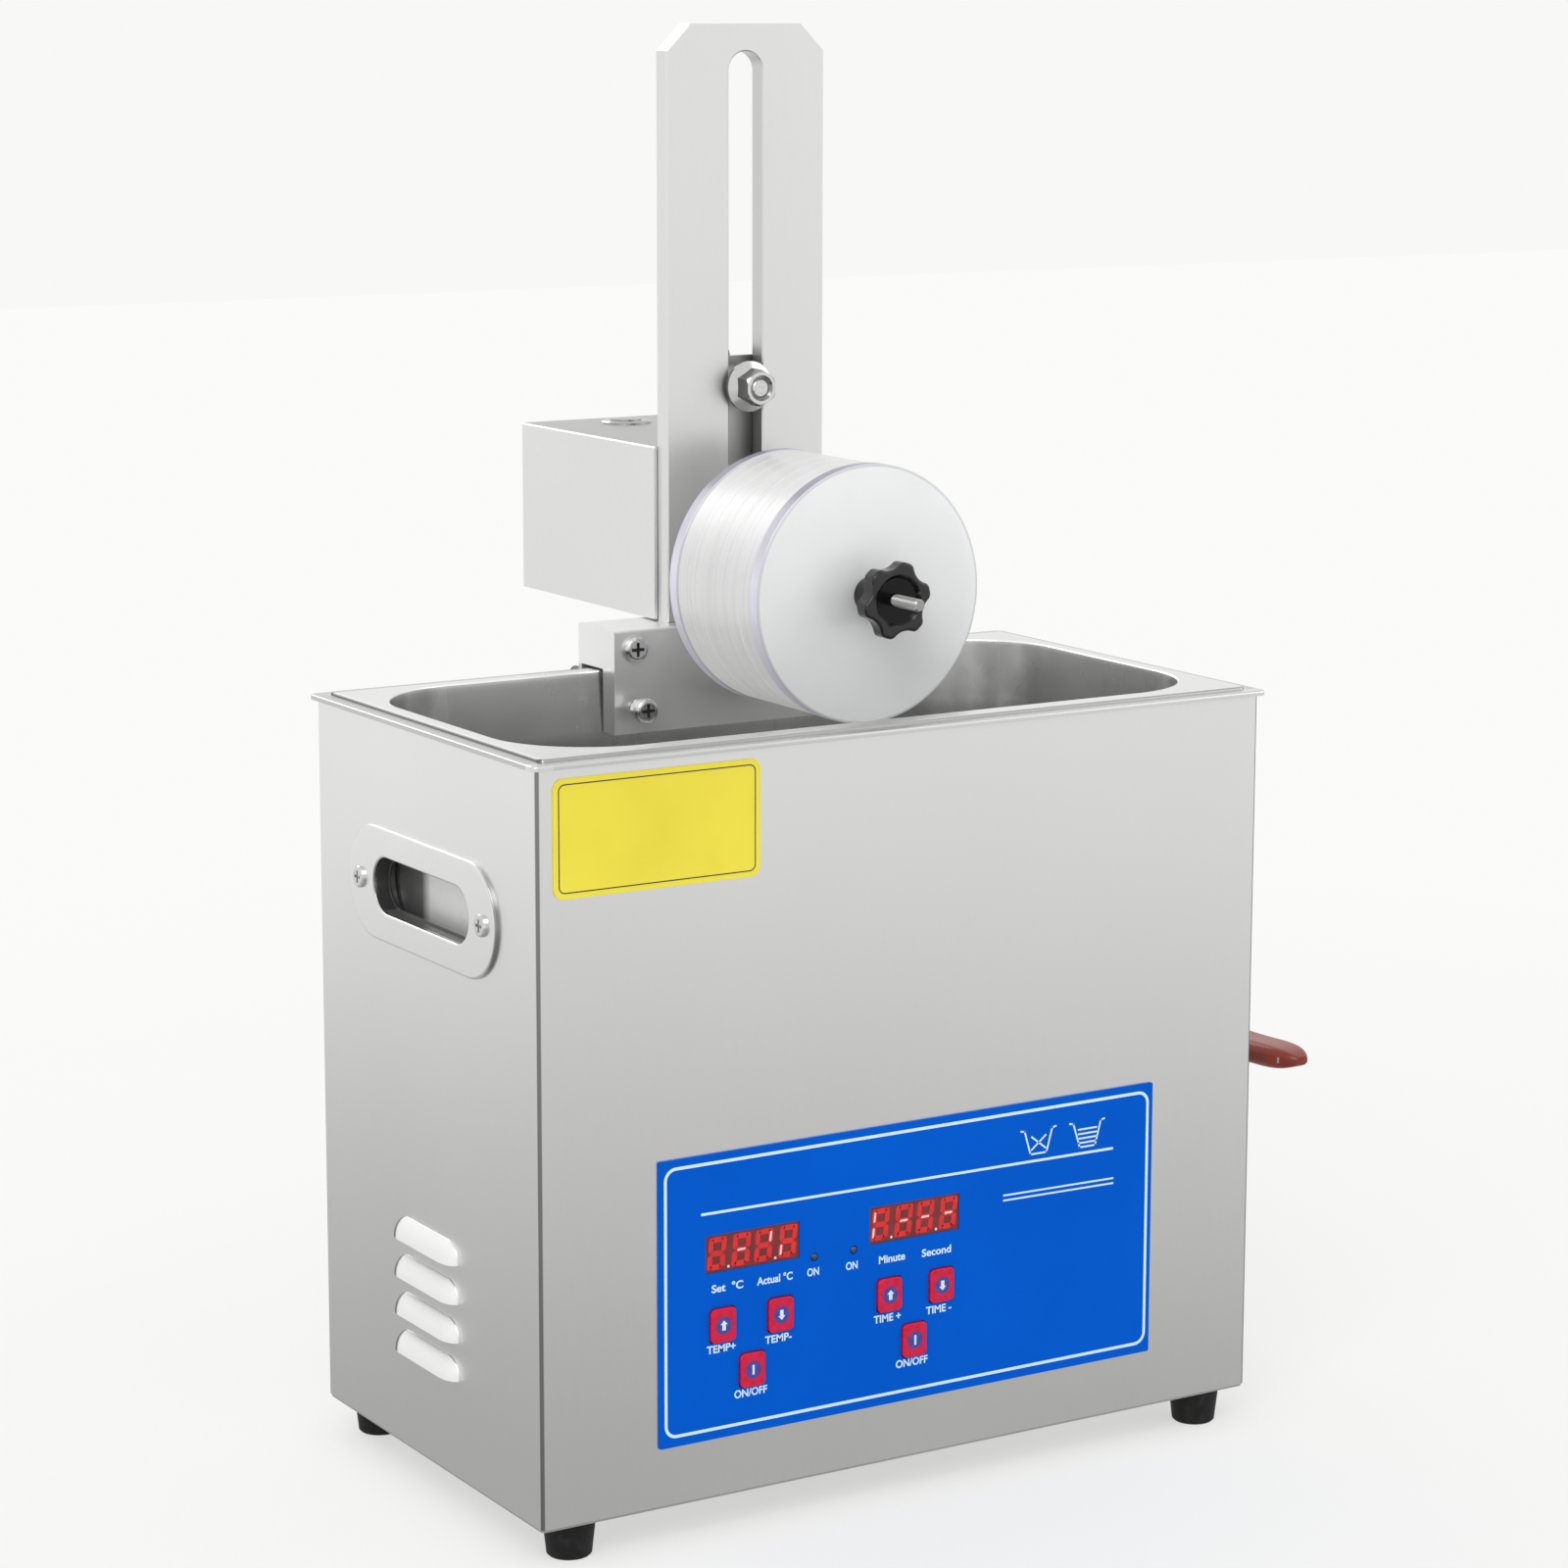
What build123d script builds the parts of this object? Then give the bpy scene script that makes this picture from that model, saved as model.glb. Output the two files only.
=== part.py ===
"""Record cleaning machine: a six-litre ultrasonic tank with a motor-driven record lift on its rear rim.

Millimetres, +Z up. The origin is on the floor under the middle of the casing, X runs right along the
front face and Y runs from the front face to the back. Each piece is one function; the last lines write
one STEP file for each named piece.
"""

import os
from math import cos, radians, sin, tan

from build123d import *

# ---------------------------------------------------------------- shared clearances and sheet
sheet = 1.0  # stainless sheet of casing, base and tank
run_gap = 0.3  # between a moving piece and what it moves in or past
seat_gap = 0.1  # round a screw, pipe or module in its hole
slide_gap = 0.2  # between the carriage and the mast it slides on

# ---------------------------------------------------------------- tank
tank_len = 300.0
tank_wide = 155.0
tank_depth = 150.0
tank_draft = 9.0  # each wall leans in by this much over the depth
tank_corner = 40.0
tank_floor_r = 14.0

# ---------------------------------------------------------------- casing and feet
casing_w = tank_len + 20.0
casing_d = tank_wide + 25.0
casing_h = 282.2
casing_corner = 1.6  # outer radius of the folded corners
foot_h = 14.0
foot_top_d = 20.0
foot_bottom_d = 17.0
foot_inset_x = 17.0
foot_inset_y = 11.0
base_inset = 0.5  # base plate edge inside the casing's outer face
base_flange_h = 12.0

casing_z0 = foot_h + sheet
casing_z1 = casing_z0 + casing_h
front_y = -casing_d / 2
back_y = casing_d / 2
left_x = -casing_w / 2
right_x = casing_w / 2

# ---------------------------------------------------------------- louvres in both side walls
louvre_count = 4
louvre_right_count = 3  # the valve takes the place of the top one
louvre_len = 51.0
louvre_h = 8.4
louvre_out = 4.4
louvre_pitch = 15.0
louvre_low = 38.0  # lower lip of the lowest louvre above the casing's lower edge

# ---------------------------------------------------------------- tank rim
rim_over = 2.5  # lip beyond the casing
rim_drop = 1.2  # lip below the casing's upper edge
rim_lip_t = 2.0
rim_rise = 2.0  # raised inner land above the casing's upper edge
rim_land_in = 3.2  # land's outer edge inside the casing's outer face
rim_corner = 3.0
rim_roll = 1.4

rim_top = casing_z1 + rim_rise
tank_floor = rim_top - tank_depth

# ---------------------------------------------------------------- handle pans in both side walls
handle_below_rim = 64.2
handle_z = casing_z1 - handle_below_rim
handle_len = 121.2
handle_h = 44.2
handle_t = 1.6
handle_hole_len = 78.8
handle_hole_h = 21.6
pan_extra = 8.0  # the pan behind the hole is this much longer and higher than the hole
pan_depth = 11.5  # into the casing, from its outer face
handle_screw_y = 50.4

# ---------------------------------------------------------------- screws with pan heads
pan_head_d = 8.6
pan_head_h = 2.8
handle_head_h = 1.4  # the low heads in the handle flanges
screw_d = 4.0
saddle_head_d = 10.4
saddle_screw_d = 5.0

# ---------------------------------------------------------------- front: overlay, displays, buttons
overlay_w = 222.6
overlay_h = 109.4
overlay_t = 0.8
overlay_lift = 22.2  # lower edge above the casing's
overlay_z0 = casing_z0 + overlay_lift
overlay_z = overlay_z0 + overlay_h / 2
plate_w = 85.6
plate_h = 43.7
plate_t = 0.5
plate_r = 4.0
plate_left = left_x + 6.5
plate_below_rim = 4.9

display_w = 20.2
display_h = 14.2
display_lift = 71.2  # centre above the overlay's lower edge
display_z = overlay_z0 + display_lift
display_centres = (-71.2, 0.4)  # each is a pair of two-digit modules
lamp_d = 3.0
lamp_lift = 63.2
lamp_z = overlay_z0 + lamp_lift
lamp_x = (-44.4, -27.0)

button_w = 10.9
button_h = 13.2
button_r = 2.0
button_proud = 1.2
button_travel = 0.8
button_flange = 1.0  # retaining flange: its thickness, and how far it runs past the cap
button_stem_d = 4.0
buttons = {
    "temperature_up_button": (-84.4, overlay_z0 + 43.6),
    "temperature_down_button": (-59.4, overlay_z0 + 43.6),
    "heat_switch_button": (-71.7, overlay_z0 + 24.4),
    "time_up_button": (-11.1, overlay_z0 + 43.3),
    "time_down_button": (12.5, overlay_z0 + 43.3),
    "start_button": (0.2, overlay_z0 + 23.7),
}

board_w = 206.0
board_h = 92.0
board_t = 1.6
board_behind = 10.0  # board behind the casing's outer face
board_front = front_y + board_behind
standoff_inset = 5.0  # from the board's edges
switch_side = 6.0
switch_h = 3.4
standoff_d = 6.0

# ---------------------------------------------------------------- electronics and transducers
generator_w = 120.0
generator_d = 84.0
generator_y = 22.0
generator_lift = 8.0
capacitor_d = 16.0
capacitor_h = 26.0
capacitor_dx = 12.0
sink_w = 84.0
sink_d = 30.0
sink_h = 36.0
sink_fin_t = 1.6
sink_foot_t = 4.0
sink_fin_pitch = 7.0
core_side = 30.0
core_h = 26.0

horn_count = 3
horn_from_end = 66.0  # first centre from the tank's left end at the rim
horn_from_drain = 42.0
horn_top_d = 44.0
horn_low_d = 30.0
horn_h = 22.0
ceramic_d = 38.0
ceramic_t = 5.0
ceramic_count = 2
mass_h = 14.0
horn_band = 4.0  # straight band at the top of each cone
horn_neck = 3.0  # and at its foot
ceramic_bore = 12.0
heater_w = 180.0
heater_h = 60.0
heater_t = 1.6
heater_above_round = 10.0

# ---------------------------------------------------------------- drain
drain_from_end = 32.0
drain_x = tank_len / 2 - drain_from_end
drain_bore = 10.0
pipe_d = 14.0
pipe_bend = 14.0
pipe_flange_d = 24.0
pipe_flange_t = 3.0
valve_z = tank_floor - 37.2
valve_hex = 25.0
valve_inlet_len = 14.0
valve_round_d = 29.0
stem_out = 29.0  # stem centre from the casing
valve_outlet_len = 9.0
hose_tail_len = 12.0
hose_tail_d = 13.0
pipe_in_valve = 9.0
ball_d = 19.0
stem_d = 7.0
stem_neck_d = 14.0
stem_neck_top = 19.0  # above the valve's axis
lever_z = valve_z + 25.0
lever_t = 2.4
lever_w = 14.0
lever_crank = 3.0  # the lever's outer part lies this much higher
lever_crank_y = (-12.0, -20.0)
lever_hub_w = 20.0
lever_len = 86.0  # stem centre to the tip of the grip
grip_len = 60.0
grip_w = 17.0
grip_h = 9.4
grip_rise = 2.4  # the grip climbs this much to its tip
grip_over = 6.0  # the sleeve's wall beyond the lever's end
stem_nut = 10.0
stem_nut_h = 5.5
stem_proud = 1.5  # above its nut

# ---------------------------------------------------------------- mains inlet with its rocker
inlet_x = -92.0
inlet_z = casing_z0 + 62.0
inlet_w = 30.0
inlet_h = 50.0
inlet_flange = 5.0
inlet_flange_t = 2.4
inlet_body_d = 30.0
socket_w = 24.4
socket_h = 16.4
socket_depth = 16.0
rocker_w = 20.0
rocker_h = 13.0
rocker_well = 13.0
rocker_axis_in = 1.0  # the rocker's pin inside the casing's outer face
socket_pin_in = 3.0

# ---------------------------------------------------------------- saddle on the rear rim
lift_x = 25.0  # the lift's middle, along the rim
saddle_w = 132.6
saddle_t = 2.5
saddle_front = 66.0
saddle_back_gap = 0.6  # behind the rim's lip
saddle_rise = 17.1  # top face above the rim
saddle_drop = 24.7  # lower edge below the rim
cheek_gap = 0.8  # cheeks above the rim
saddle_return = 9.4  # the cheeks' leg inside the tank
saddle_screw_dx = 57.0
saddle_screw_below_top = 7.7
saddle_shank = 14.0
clamp_screw_below_top = 31.3
clamp_screw_proud = 11.0
clamp_head_h = 3.2
clamp_nut_af = 8.0
clamp_nut_t = 4.0
pad_t = 2.0
pad_len = 24.0

saddle_back = back_y + rim_over + saddle_back_gap + saddle_t
saddle_top = rim_top + saddle_rise
saddle_low = rim_top - saddle_drop

hand_knob_dx = 60.0
hand_knob_below_rim = 13.0
hand_knob_d = 20.0
hand_knob_t = 10.0
hand_knob_out = 5.4  # behind the saddle's rear flange
hand_stud_d = 5.0
hand_knob_lobes = 8
hand_knob_lobe_r = 2.4
hand_knob_core = 16.0

hand_knob_z = rim_top - hand_knob_below_rim

# ---------------------------------------------------------------- mast
mast_w = 73.0
mast_t = 8.0
mast_h = 238.1
mast_front = 75.0
mast_chamfer = 10.6
slot_w = 15.6
slot_top_land = 10.8  # metal above the slot
slot_below_hub = 6.2  # free slot under the hub in its lowest place
spindle_above_saddle = 20.3
mast_screw_dx = 26.0
mast_screw_len = 27.0
mast_screw_recess = 1.0  # head inside the foot block's under side

mast_screw_seat = rim_top + pad_t + pan_head_h + mast_screw_recess

spindle_z = saddle_top + spindle_above_saddle
mast_back = mast_front + mast_t
mast_top = saddle_top + mast_h
slot_top = mast_top - slot_top_land

# ---------------------------------------------------------------- carriage behind the mast
carriage_t = 3.0
box_w = 76.0
box_h = 70.0
box_back = 196.0
box_sheet = 1.2
box_lift = 0.7  # box above the saddle in its lowest place
box_flange = 10.0
clamp_above_spindle = 73.7
lug_w = 30.0
lug_above_clamp = 11.6
lug_corner = 5.0
clamp_thread_d = 8.0
clamp_washer_d = 17.0
clamp_washer_t = 1.6
clamp_nut_flange_d = 20.4
clamp_nut_flange_t = 1.4
clamp_nut_cone_t = 1.6  # the flange's cone, between its rim and the hexagon
clamp_nut_hex = 13.0
clamp_nut_h = 10.6
clamp_nut_bevel = 1.0
clamp_nut_sink_d = 10.4  # countersink in the nut's front face
clamp_nut_sink = 1.4
clamp_bolt_below = 0.7  # the stud's end inside the nut's front face

plate_front = mast_back + slide_gap
plate_back = plate_front + carriage_t
box_z0 = saddle_top + box_lift
box_z1 = box_z0 + box_h
clamp_z = spindle_z + clamp_above_spindle
lug_top = clamp_z + lug_above_clamp
slot_r = slot_w / 2
clamp_nut_z0 = slide_gap + clamp_washer_t  # both in front of the mast
clamp_nut_z1 = clamp_nut_z0 + clamp_nut_h

gearbox_d = 36.0
gearbox_len = 20.0
motor_d = 33.0
motor_len = 46.0
motor_bearing_d = 14.0
power_button_y = 174.0
power_button_flange_d = 21.4
power_button_flange_t = 1.2
power_button_body_d = 15.4
power_button_body_len = 20.0
power_button_d = 12.6
power_button_proud = 0.4  # plunger's rim above the flange, at rest
power_button_dome = 0.7
power_button_travel = 1.2
jack_d = 11.0
jack_flange_d = 14.0
jack_bore_d = 5.5
jack_len = 16.0
jack_dx = -20.0

# ---------------------------------------------------------------- spindle, discs and knobs
disc_d = 101.6
disc_t = 6.0
disc_edge = 0.5
spacer_count = 6
spacer_t = 9.2
spacer_d = 100.6
spacer_edge = 0.45
stack_behind = 25.8  # rear disc's back face in front of the mast
rod_d = 5.0
rod_out = 36.0  # rod beyond the front disc's face
hub_d = 10.0
hub_flange_d = 32.0
hub_flange_t = 3.0
shaft_d = 8.0
rod_in_hub = 18.0
shaft_in = 8.0  # how far the shaft runs inside the gearbox bearing

stack_back = mast_front - stack_behind
spacers_back = stack_back - disc_t
spacers_front = spacers_back - spacer_count * spacer_t
stack_front = spacers_front - disc_t

knob_d = 30.2
knob_lobes = 6
knob_scallop_r = 8.0
knob_scallop_at = 20.4  # scallop centres from the knob's axis
knob_blend = 2.7
knob_phase = 12.0
rear_knob_phase = -22.0  # the rear knob's rest turn from the front one's
knob_head_t = 7.0
knob_boss_len = 14.2
knob_boss_d = 14.0
knob_boss_root_d = 19.0
knob_edge = 1.3
knob_bowl_d = 20.6
knob_bowl_floor_d = 17.6
knob_bowl_depth = 1.5


# ---------------------------------------------------------------- helpers
def slab_z(sketch, z0, z1):
    """Extrude a plan outline from z0 to z1."""
    return extrude(Plane.XY.offset(z0) * sketch, z1 - z0)


def slab_y(sketch, y0, y1):
    """Extrude a front-view outline (X right, Z up) from y0 back to y1."""
    return extrude(Plane.XZ.offset(-y1) * sketch, y1 - y0)


def slab_x(sketch, x0, x1):
    """Extrude a side-view outline (Y right, Z up) from x0 to x1."""
    return extrude(Plane.YZ.offset(x0) * sketch, x1 - x0)


def block(x0, x1, y0, y1, z0, z1):
    """A rectangular solid between six limits."""
    return slab_z(Pos((x0 + x1) / 2, (y0 + y1) / 2) * Rectangle(x1 - x0, y1 - y0), z0, z1)


def post(d, x, y, z0, z1):
    """A round bar along Z."""
    return slab_z(Pos(x, y) * Circle(d / 2), z0, z1)


def pin(d, x, z, y0, y1):
    """A round bar along Y."""
    return slab_y(Pos(x, z) * Circle(d / 2), y0, y1)


def turned(*points):
    """A solid of revolution about Z from (radius, height) points."""
    return revolve(Plane.XZ * make_face(Polyline(*points, close=True)), Axis.Z)


def facing_front(x, y, z):
    """Placement whose local Z points to the front (-Y)."""
    return Plane(origin=(x, y, z), x_dir=(1, 0, 0), z_dir=(0, -1, 0))


def facing_back(x, y, z):
    """Placement whose local Z points to the back (+Y)."""
    return Plane(origin=(x, y, z), x_dir=(-1, 0, 0), z_dir=(0, 1, 0))


def facing_left(x, y, z):
    """Placement whose local Z points to the left (-X)."""
    return Plane(origin=(x, y, z), x_dir=(0, -1, 0), z_dir=(-1, 0, 0))


def facing_right(x, y, z):
    """Placement whose local Z points to the right (+X)."""
    return Plane(origin=(x, y, z), x_dir=(0, 1, 0), z_dir=(1, 0, 0))


def to_right(solid):
    """The mirror image of a left-hand piece, on the right wall."""
    return mirror(solid, about=Plane.YZ)


def pan_head_screw(head_d, head_h, shank_d, shank_len):
    """Pan-head screw with its head above Z=0 and its shank below, and a cross recess in the head."""
    head = fillet(Cylinder(head_d / 2, head_h, align=(Align.CENTER, Align.CENTER, Align.MIN))
                  .edges().group_by(Axis.Z)[-1], head_h * 0.6)
    wing = head_d * 0.55
    slit = head_d * 0.13
    cross = Rectangle(wing, slit) + Rectangle(slit, wing)
    recess = slab_z(cross, head_h * 0.4, head_h)
    shank = post(shank_d, 0, 0, -shank_len, 0)
    return head - recess + shank


# ---------------------------------------------------------------- casing
def louvre_levels(count):
    """Height of the lower lip of each louvre in a wall, from the lowest up."""
    return [casing_z0 + louvre_low + i * louvre_pitch for i in range(count)]


def louvre_hood(z):
    """One pressed hood on the left wall: a quarter ellipse drawn out along Y with rounded ends."""
    wall_mid = left_x + sheet / 2
    outer = Ellipse(louvre_out + sheet / 2, louvre_h)
    inner = Ellipse(louvre_out - sheet / 2, louvre_h - sheet)
    quarter = Pos(-louvre_out, louvre_h) * Rectangle(2 * louvre_out, 2 * louvre_h)
    section = (outer - inner) & quarter
    half = louvre_len / 2 - louvre_h
    middle = slab_y(Pos(wall_mid, z) * section, -half, half)
    face = Plane.XZ * section
    end = revolve(face, Axis.X, 90)
    other = revolve(face, Axis.X, -90)
    if end.bounding_box().max.Y < other.bounding_box().max.Y:
        end, other = other, end
    return middle + Pos(wall_mid, half, z) * end + Pos(wall_mid, -half, z) * other


def louvre_slot(z):
    """The opening in the wall behind one hood."""
    reach = louvre_h - sheet
    half = louvre_len / 2 - louvre_h
    ends = [Pos(side * half, 0) * Circle(reach) for side in (-1, 1)]
    outline = Rectangle(2 * half, 2 * reach) + ends
    upper = outline & (Pos(0, reach) * Rectangle(louvre_len, 2 * reach))
    return slab_x(Pos(0, z) * upper, left_x, left_x + sheet)


def display_outline(gap):
    """Front outlines of the two display windows, each for a pair of modules."""
    return [Pos(x, display_z) * Rectangle(2 * (display_w + gap), display_h + 2 * gap)
            for x in display_centres]


def button_outline(x, z, grow):
    """Front outline of a button cap, larger by grow all round."""
    return Pos(x, z) * RectangleRounded(button_w + 2 * grow, button_h + 2 * grow, button_r)


def front_holes():
    """What is cut through the casing's front wall and the overlay on it."""
    holes = display_outline(seat_gap)
    holes += [button_outline(x, z, run_gap) for x, z in buttons.values()]
    holes += [Pos(x, lamp_z) * Circle(lamp_d / 2 + seat_gap) for x in lamp_x]
    return slab_y(Sketch() + holes, front_y - overlay_t, front_y + sheet)


def casing_shell():
    outer = RectangleRounded(casing_w, casing_d, casing_corner)
    inner = RectangleRounded(casing_w - 2 * sheet, casing_d - 2 * sheet, casing_corner - sheet)
    shell = slab_z(outer - inner, casing_z0, casing_z1)
    for z in louvre_levels(louvre_count):
        shell -= louvre_slot(z)
        shell += louvre_hood(z)
    for z in louvre_levels(louvre_right_count):
        shell -= to_right(louvre_slot(z))
        shell += to_right(louvre_hood(z))
    pan_hole = Pos(0, handle_z) * SlotOverall(handle_hole_len + pan_extra + 2 * (sheet + seat_gap),
                                              handle_hole_h + pan_extra + 2 * (sheet + seat_gap))
    pan_hole += [Pos(side * handle_screw_y, handle_z) * Circle(screw_d / 2 + seat_gap)
                 for side in (-1, 1)]
    for x in (left_x, right_x - sheet):
        shell -= slab_x(pan_hole, x, x + sheet)
    shell -= slab_x(Pos(0, valve_z) * Circle(pipe_d / 2 + seat_gap), right_x - sheet, right_x)
    shell -= slab_y(Pos(inlet_x, inlet_z) * Rectangle(inlet_w + seat_gap, inlet_h + seat_gap),
                    back_y - sheet, back_y)
    return shell - front_holes()


def base_plate():
    """Tray under the casing: a flat sheet with an upturned flange, slots for air and screw holes."""
    outline = RectangleRounded(casing_w - 2 * base_inset, casing_d - 2 * base_inset, casing_corner)
    inside = 2 * (sheet + seat_gap)
    flange_out = RectangleRounded(casing_w - inside, casing_d - inside, casing_corner)
    flange_in = Rectangle(casing_w - inside - 2 * sheet, casing_d - inside - 2 * sheet)
    vent = GridLocations(14, 0, 9, 1) * SlotOverall(50, 4, rotation=90)
    tray = slab_z(outline - Sketch() - (Pos(0, -46) * (Sketch() + vent)), foot_h, casing_z0)
    tray += slab_z(flange_out - flange_in, casing_z0, casing_z0 + base_flange_h)
    for x, y in foot_places():
        tray -= post(screw_d + 2 * seat_gap, x, y, foot_h, casing_z0)
    return tray


def foot_places():
    dx = casing_w / 2 - foot_inset_x
    dy = casing_d / 2 - foot_inset_y
    return [(sx * dx, sy * dy) for sx in (-1, 1) for sy in (-1, 1)]


def rubber_feet():
    """Four tapered rubber feet with a round recess under each for its screw."""
    recess_r = pan_head_d / 2 + 0.6
    recess_h = 6.0
    lower_edge = 0.8
    foot = turned((screw_d / 2, foot_h), (foot_top_d / 2, foot_h),
                  (foot_bottom_d / 2, lower_edge), (foot_bottom_d / 2 - lower_edge, 0),
                  (recess_r, 0), (recess_r, recess_h), (screw_d / 2, recess_h))
    return [Pos(x, y, 0) * foot for x, y in foot_places()]


def foot_screw():
    """The screw up through a foot, its head in the foot's recess."""
    head_top = 6.0
    screw = pan_head_screw(pan_head_d, pan_head_h, screw_d - 2 * seat_gap, foot_h + 4 * sheet - head_top)
    return Pos(0, 0, head_top) * (Rot(180, 0, 0) * screw)


# ---------------------------------------------------------------- tank
def tank_outline(inset):
    return RectangleRounded(tank_len - 2 * inset, tank_wide - 2 * inset, tank_corner - inset * 0.6)


def tank_form(grow):
    """The tank's hollow, or with grow the skin round it: a drafted block with a rounded floor."""
    upper = Plane.XY.offset(rim_top) * tank_outline(-grow)
    lower = Plane.XY.offset(tank_floor - grow) * tank_outline(tank_draft - grow)
    form = loft([upper.face(), lower.face()], ruled=True)
    return fillet(form.edges().group_by(Axis.Z)[0], tank_floor_r + grow)


def tank():
    """Pressed tank: a stepped rim with a turned-down lip, a rolled edge and a drain hole."""
    lip_w = casing_w + 2 * rim_over
    lip_d = casing_d + 2 * rim_over
    lip_z0 = casing_z1 - rim_drop
    lip = slab_z(RectangleRounded(lip_w, lip_d, rim_corner), lip_z0, lip_z0 + rim_lip_t)
    lip = fillet(lip.edges().group_by(Axis.Z)[-1], rim_lip_t * 0.45)
    land_w = casing_w - 2 * rim_land_in
    land_d = casing_d - 2 * rim_land_in
    land = slab_z(RectangleRounded(land_w, land_d, rim_corner), casing_z1, rim_top)
    land = fillet(land.edges().group_by(Axis.Z)[-1], rim_roll)
    under = slab_z(RectangleRounded(land_w - 2 * sheet, land_d - 2 * sheet, rim_corner - sheet),
                   casing_z1, rim_top - sheet)
    over_casing = slab_z(Rectangle(casing_w + seat_gap, casing_d + seat_gap), lip_z0, casing_z1)
    hollow = tank_form(0)
    rim = lip + land - under - over_casing - hollow
    rim = fillet(rim.edges().filter_by_position(Axis.Z, rim_top, rim_top)
                 .filter_by(lambda e: abs(e.center().X) < tank_len / 2 + sheet
                            and abs(e.center().Y) < tank_wide / 2 + sheet), sheet * 0.8)
    wall = tank_form(sheet) - hollow - slab_z(Rectangle(lip_w, lip_d), rim_top - sheet, rim_top + sheet)
    return rim + wall - post(drain_bore, drain_x, 0, tank_floor - sheet, tank_floor)


# ---------------------------------------------------------------- handle pans
def handle_pan_left():
    """Pressed finger pull: a raised racetrack flange, a rolled hole edge and a closed pan behind it."""
    hole = SlotOverall(handle_hole_len, handle_hole_h)
    pan_in = SlotOverall(handle_hole_len + pan_extra, handle_hole_h + pan_extra)
    pan_out = SlotOverall(handle_hole_len + pan_extra + 2 * sheet, handle_hole_h + pan_extra + 2 * sheet)
    flange_x = left_x - handle_t
    flange = slab_x(SlotOverall(handle_len, handle_h), flange_x, left_x)
    flange = fillet(flange.edges().group_by(Axis.X)[0], handle_t * 0.6)
    pan = slab_x(pan_out, left_x, left_x + pan_depth)
    pan = fillet(pan.edges().group_by(Axis.X)[-1], sheet * 2)
    body = flange + pan - slab_x(pan_in, left_x, left_x + pan_depth - sheet)
    body -= slab_x(hole, flange_x, left_x)
    rolled = [e for e in body.edges().group_by(Axis.X)[0] if abs(e.center().Y) < handle_hole_len / 2
              and abs(e.center().Z) < handle_hole_h / 2 + 0.1]
    body = fillet(rolled, handle_t * 0.55)
    for side in (-1, 1):
        body -= slab_x(Pos(side * handle_screw_y, 0) * Circle(screw_d / 2 + seat_gap), flange_x, left_x)
    return Pos(0, 0, handle_z) * body


def handle_pan_right():
    return to_right(handle_pan_left())


# ---------------------------------------------------------------- front panel
def control_overlay():
    """Printed sheet on the front wall, with holes for the displays, lamps and buttons."""
    sheet_body = slab_y(Pos(0, overlay_z) * RectangleRounded(overlay_w, overlay_h, 0.8),
                        front_y - overlay_t, front_y)
    return sheet_body - front_holes()


def yellow_plate():
    top = casing_z1 - plate_below_rim
    outline = Pos(plate_left + plate_w / 2, top - plate_h / 2) * RectangleRounded(plate_w, plate_h, plate_r)
    return slab_y(outline, front_y - plate_t, front_y)


def display_modules():
    """Four two-digit display modules, in pairs, soldered to the control board."""
    below_overlay = 0.4
    return [slab_y(Pos(x + side * display_w / 2, display_z) * Rectangle(display_w - seat_gap, display_h),
                   front_y - overlay_t + below_overlay, board_front)
            for x in display_centres for side in (-1, 1)]


def indicator_lamps():
    """Two small domed lamps on long leads to the control board."""
    proud = 0.6
    r = lamp_d / 2
    body = post(lamp_d, 0, 0, 0, overlay_t + board_behind + proud)
    body = fillet(body.edges().group_by(Axis.Z)[-1], r * 0.9)
    return [facing_front(x, board_front, lamp_z) * body for x in lamp_x]


def panel_button(x, z):
    """Cap with a retaining flange behind the front wall and a stem to its key switch."""
    front = front_y - overlay_t - button_proud
    flange_y = front_y + sheet + run_gap
    cap = slab_y(button_outline(x, z, 0), front, flange_y)
    cap = fillet(cap.edges().group_by(Axis.Y)[0], button_proud * 0.45)
    flange = slab_y(button_outline(x, z, button_flange), flange_y, flange_y + button_flange)
    stem_end = board_front - switch_h - button_travel - run_gap
    return cap + flange + pin(button_stem_d, x, z, flange_y, stem_end)


def control_board():
    """Circuit board behind the front wall, with a key switch behind each button."""
    y = board_front
    board = slab_y(Pos(0, overlay_z) * Rectangle(board_w, board_h), y, y + board_t)
    for x, z in standoff_places():
        board -= pin(screw_d, x, z, y, y + board_t)
    for x, z in buttons.values():
        board += slab_y(Pos(x, z) * Rectangle(switch_side, switch_side), y - switch_h, y)
    return board


def standoff_places():
    dx = board_w / 2 - standoff_inset
    dz = board_h / 2 - standoff_inset
    return [(sx * dx, overlay_z + sz * dz) for sx in (-1, 1) for sz in (-1, 1)]


def generator_posts():
    dx = generator_w / 2 - standoff_inset
    dy = generator_d / 2 - standoff_inset
    return [(sx * dx, generator_y + sy * dy) for sx in (-1, 1) for sy in (-1, 1)]


def board_standoffs():
    """Brass posts: four hold the control board to the front wall, four the generator to the base."""
    front = [pin(standoff_d, x, z, front_y + sheet, board_front) for x, z in standoff_places()]
    low = [post(standoff_d, x, y, casing_z0, casing_z0 + generator_lift) for x, y in generator_posts()]
    return front + low


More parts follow.
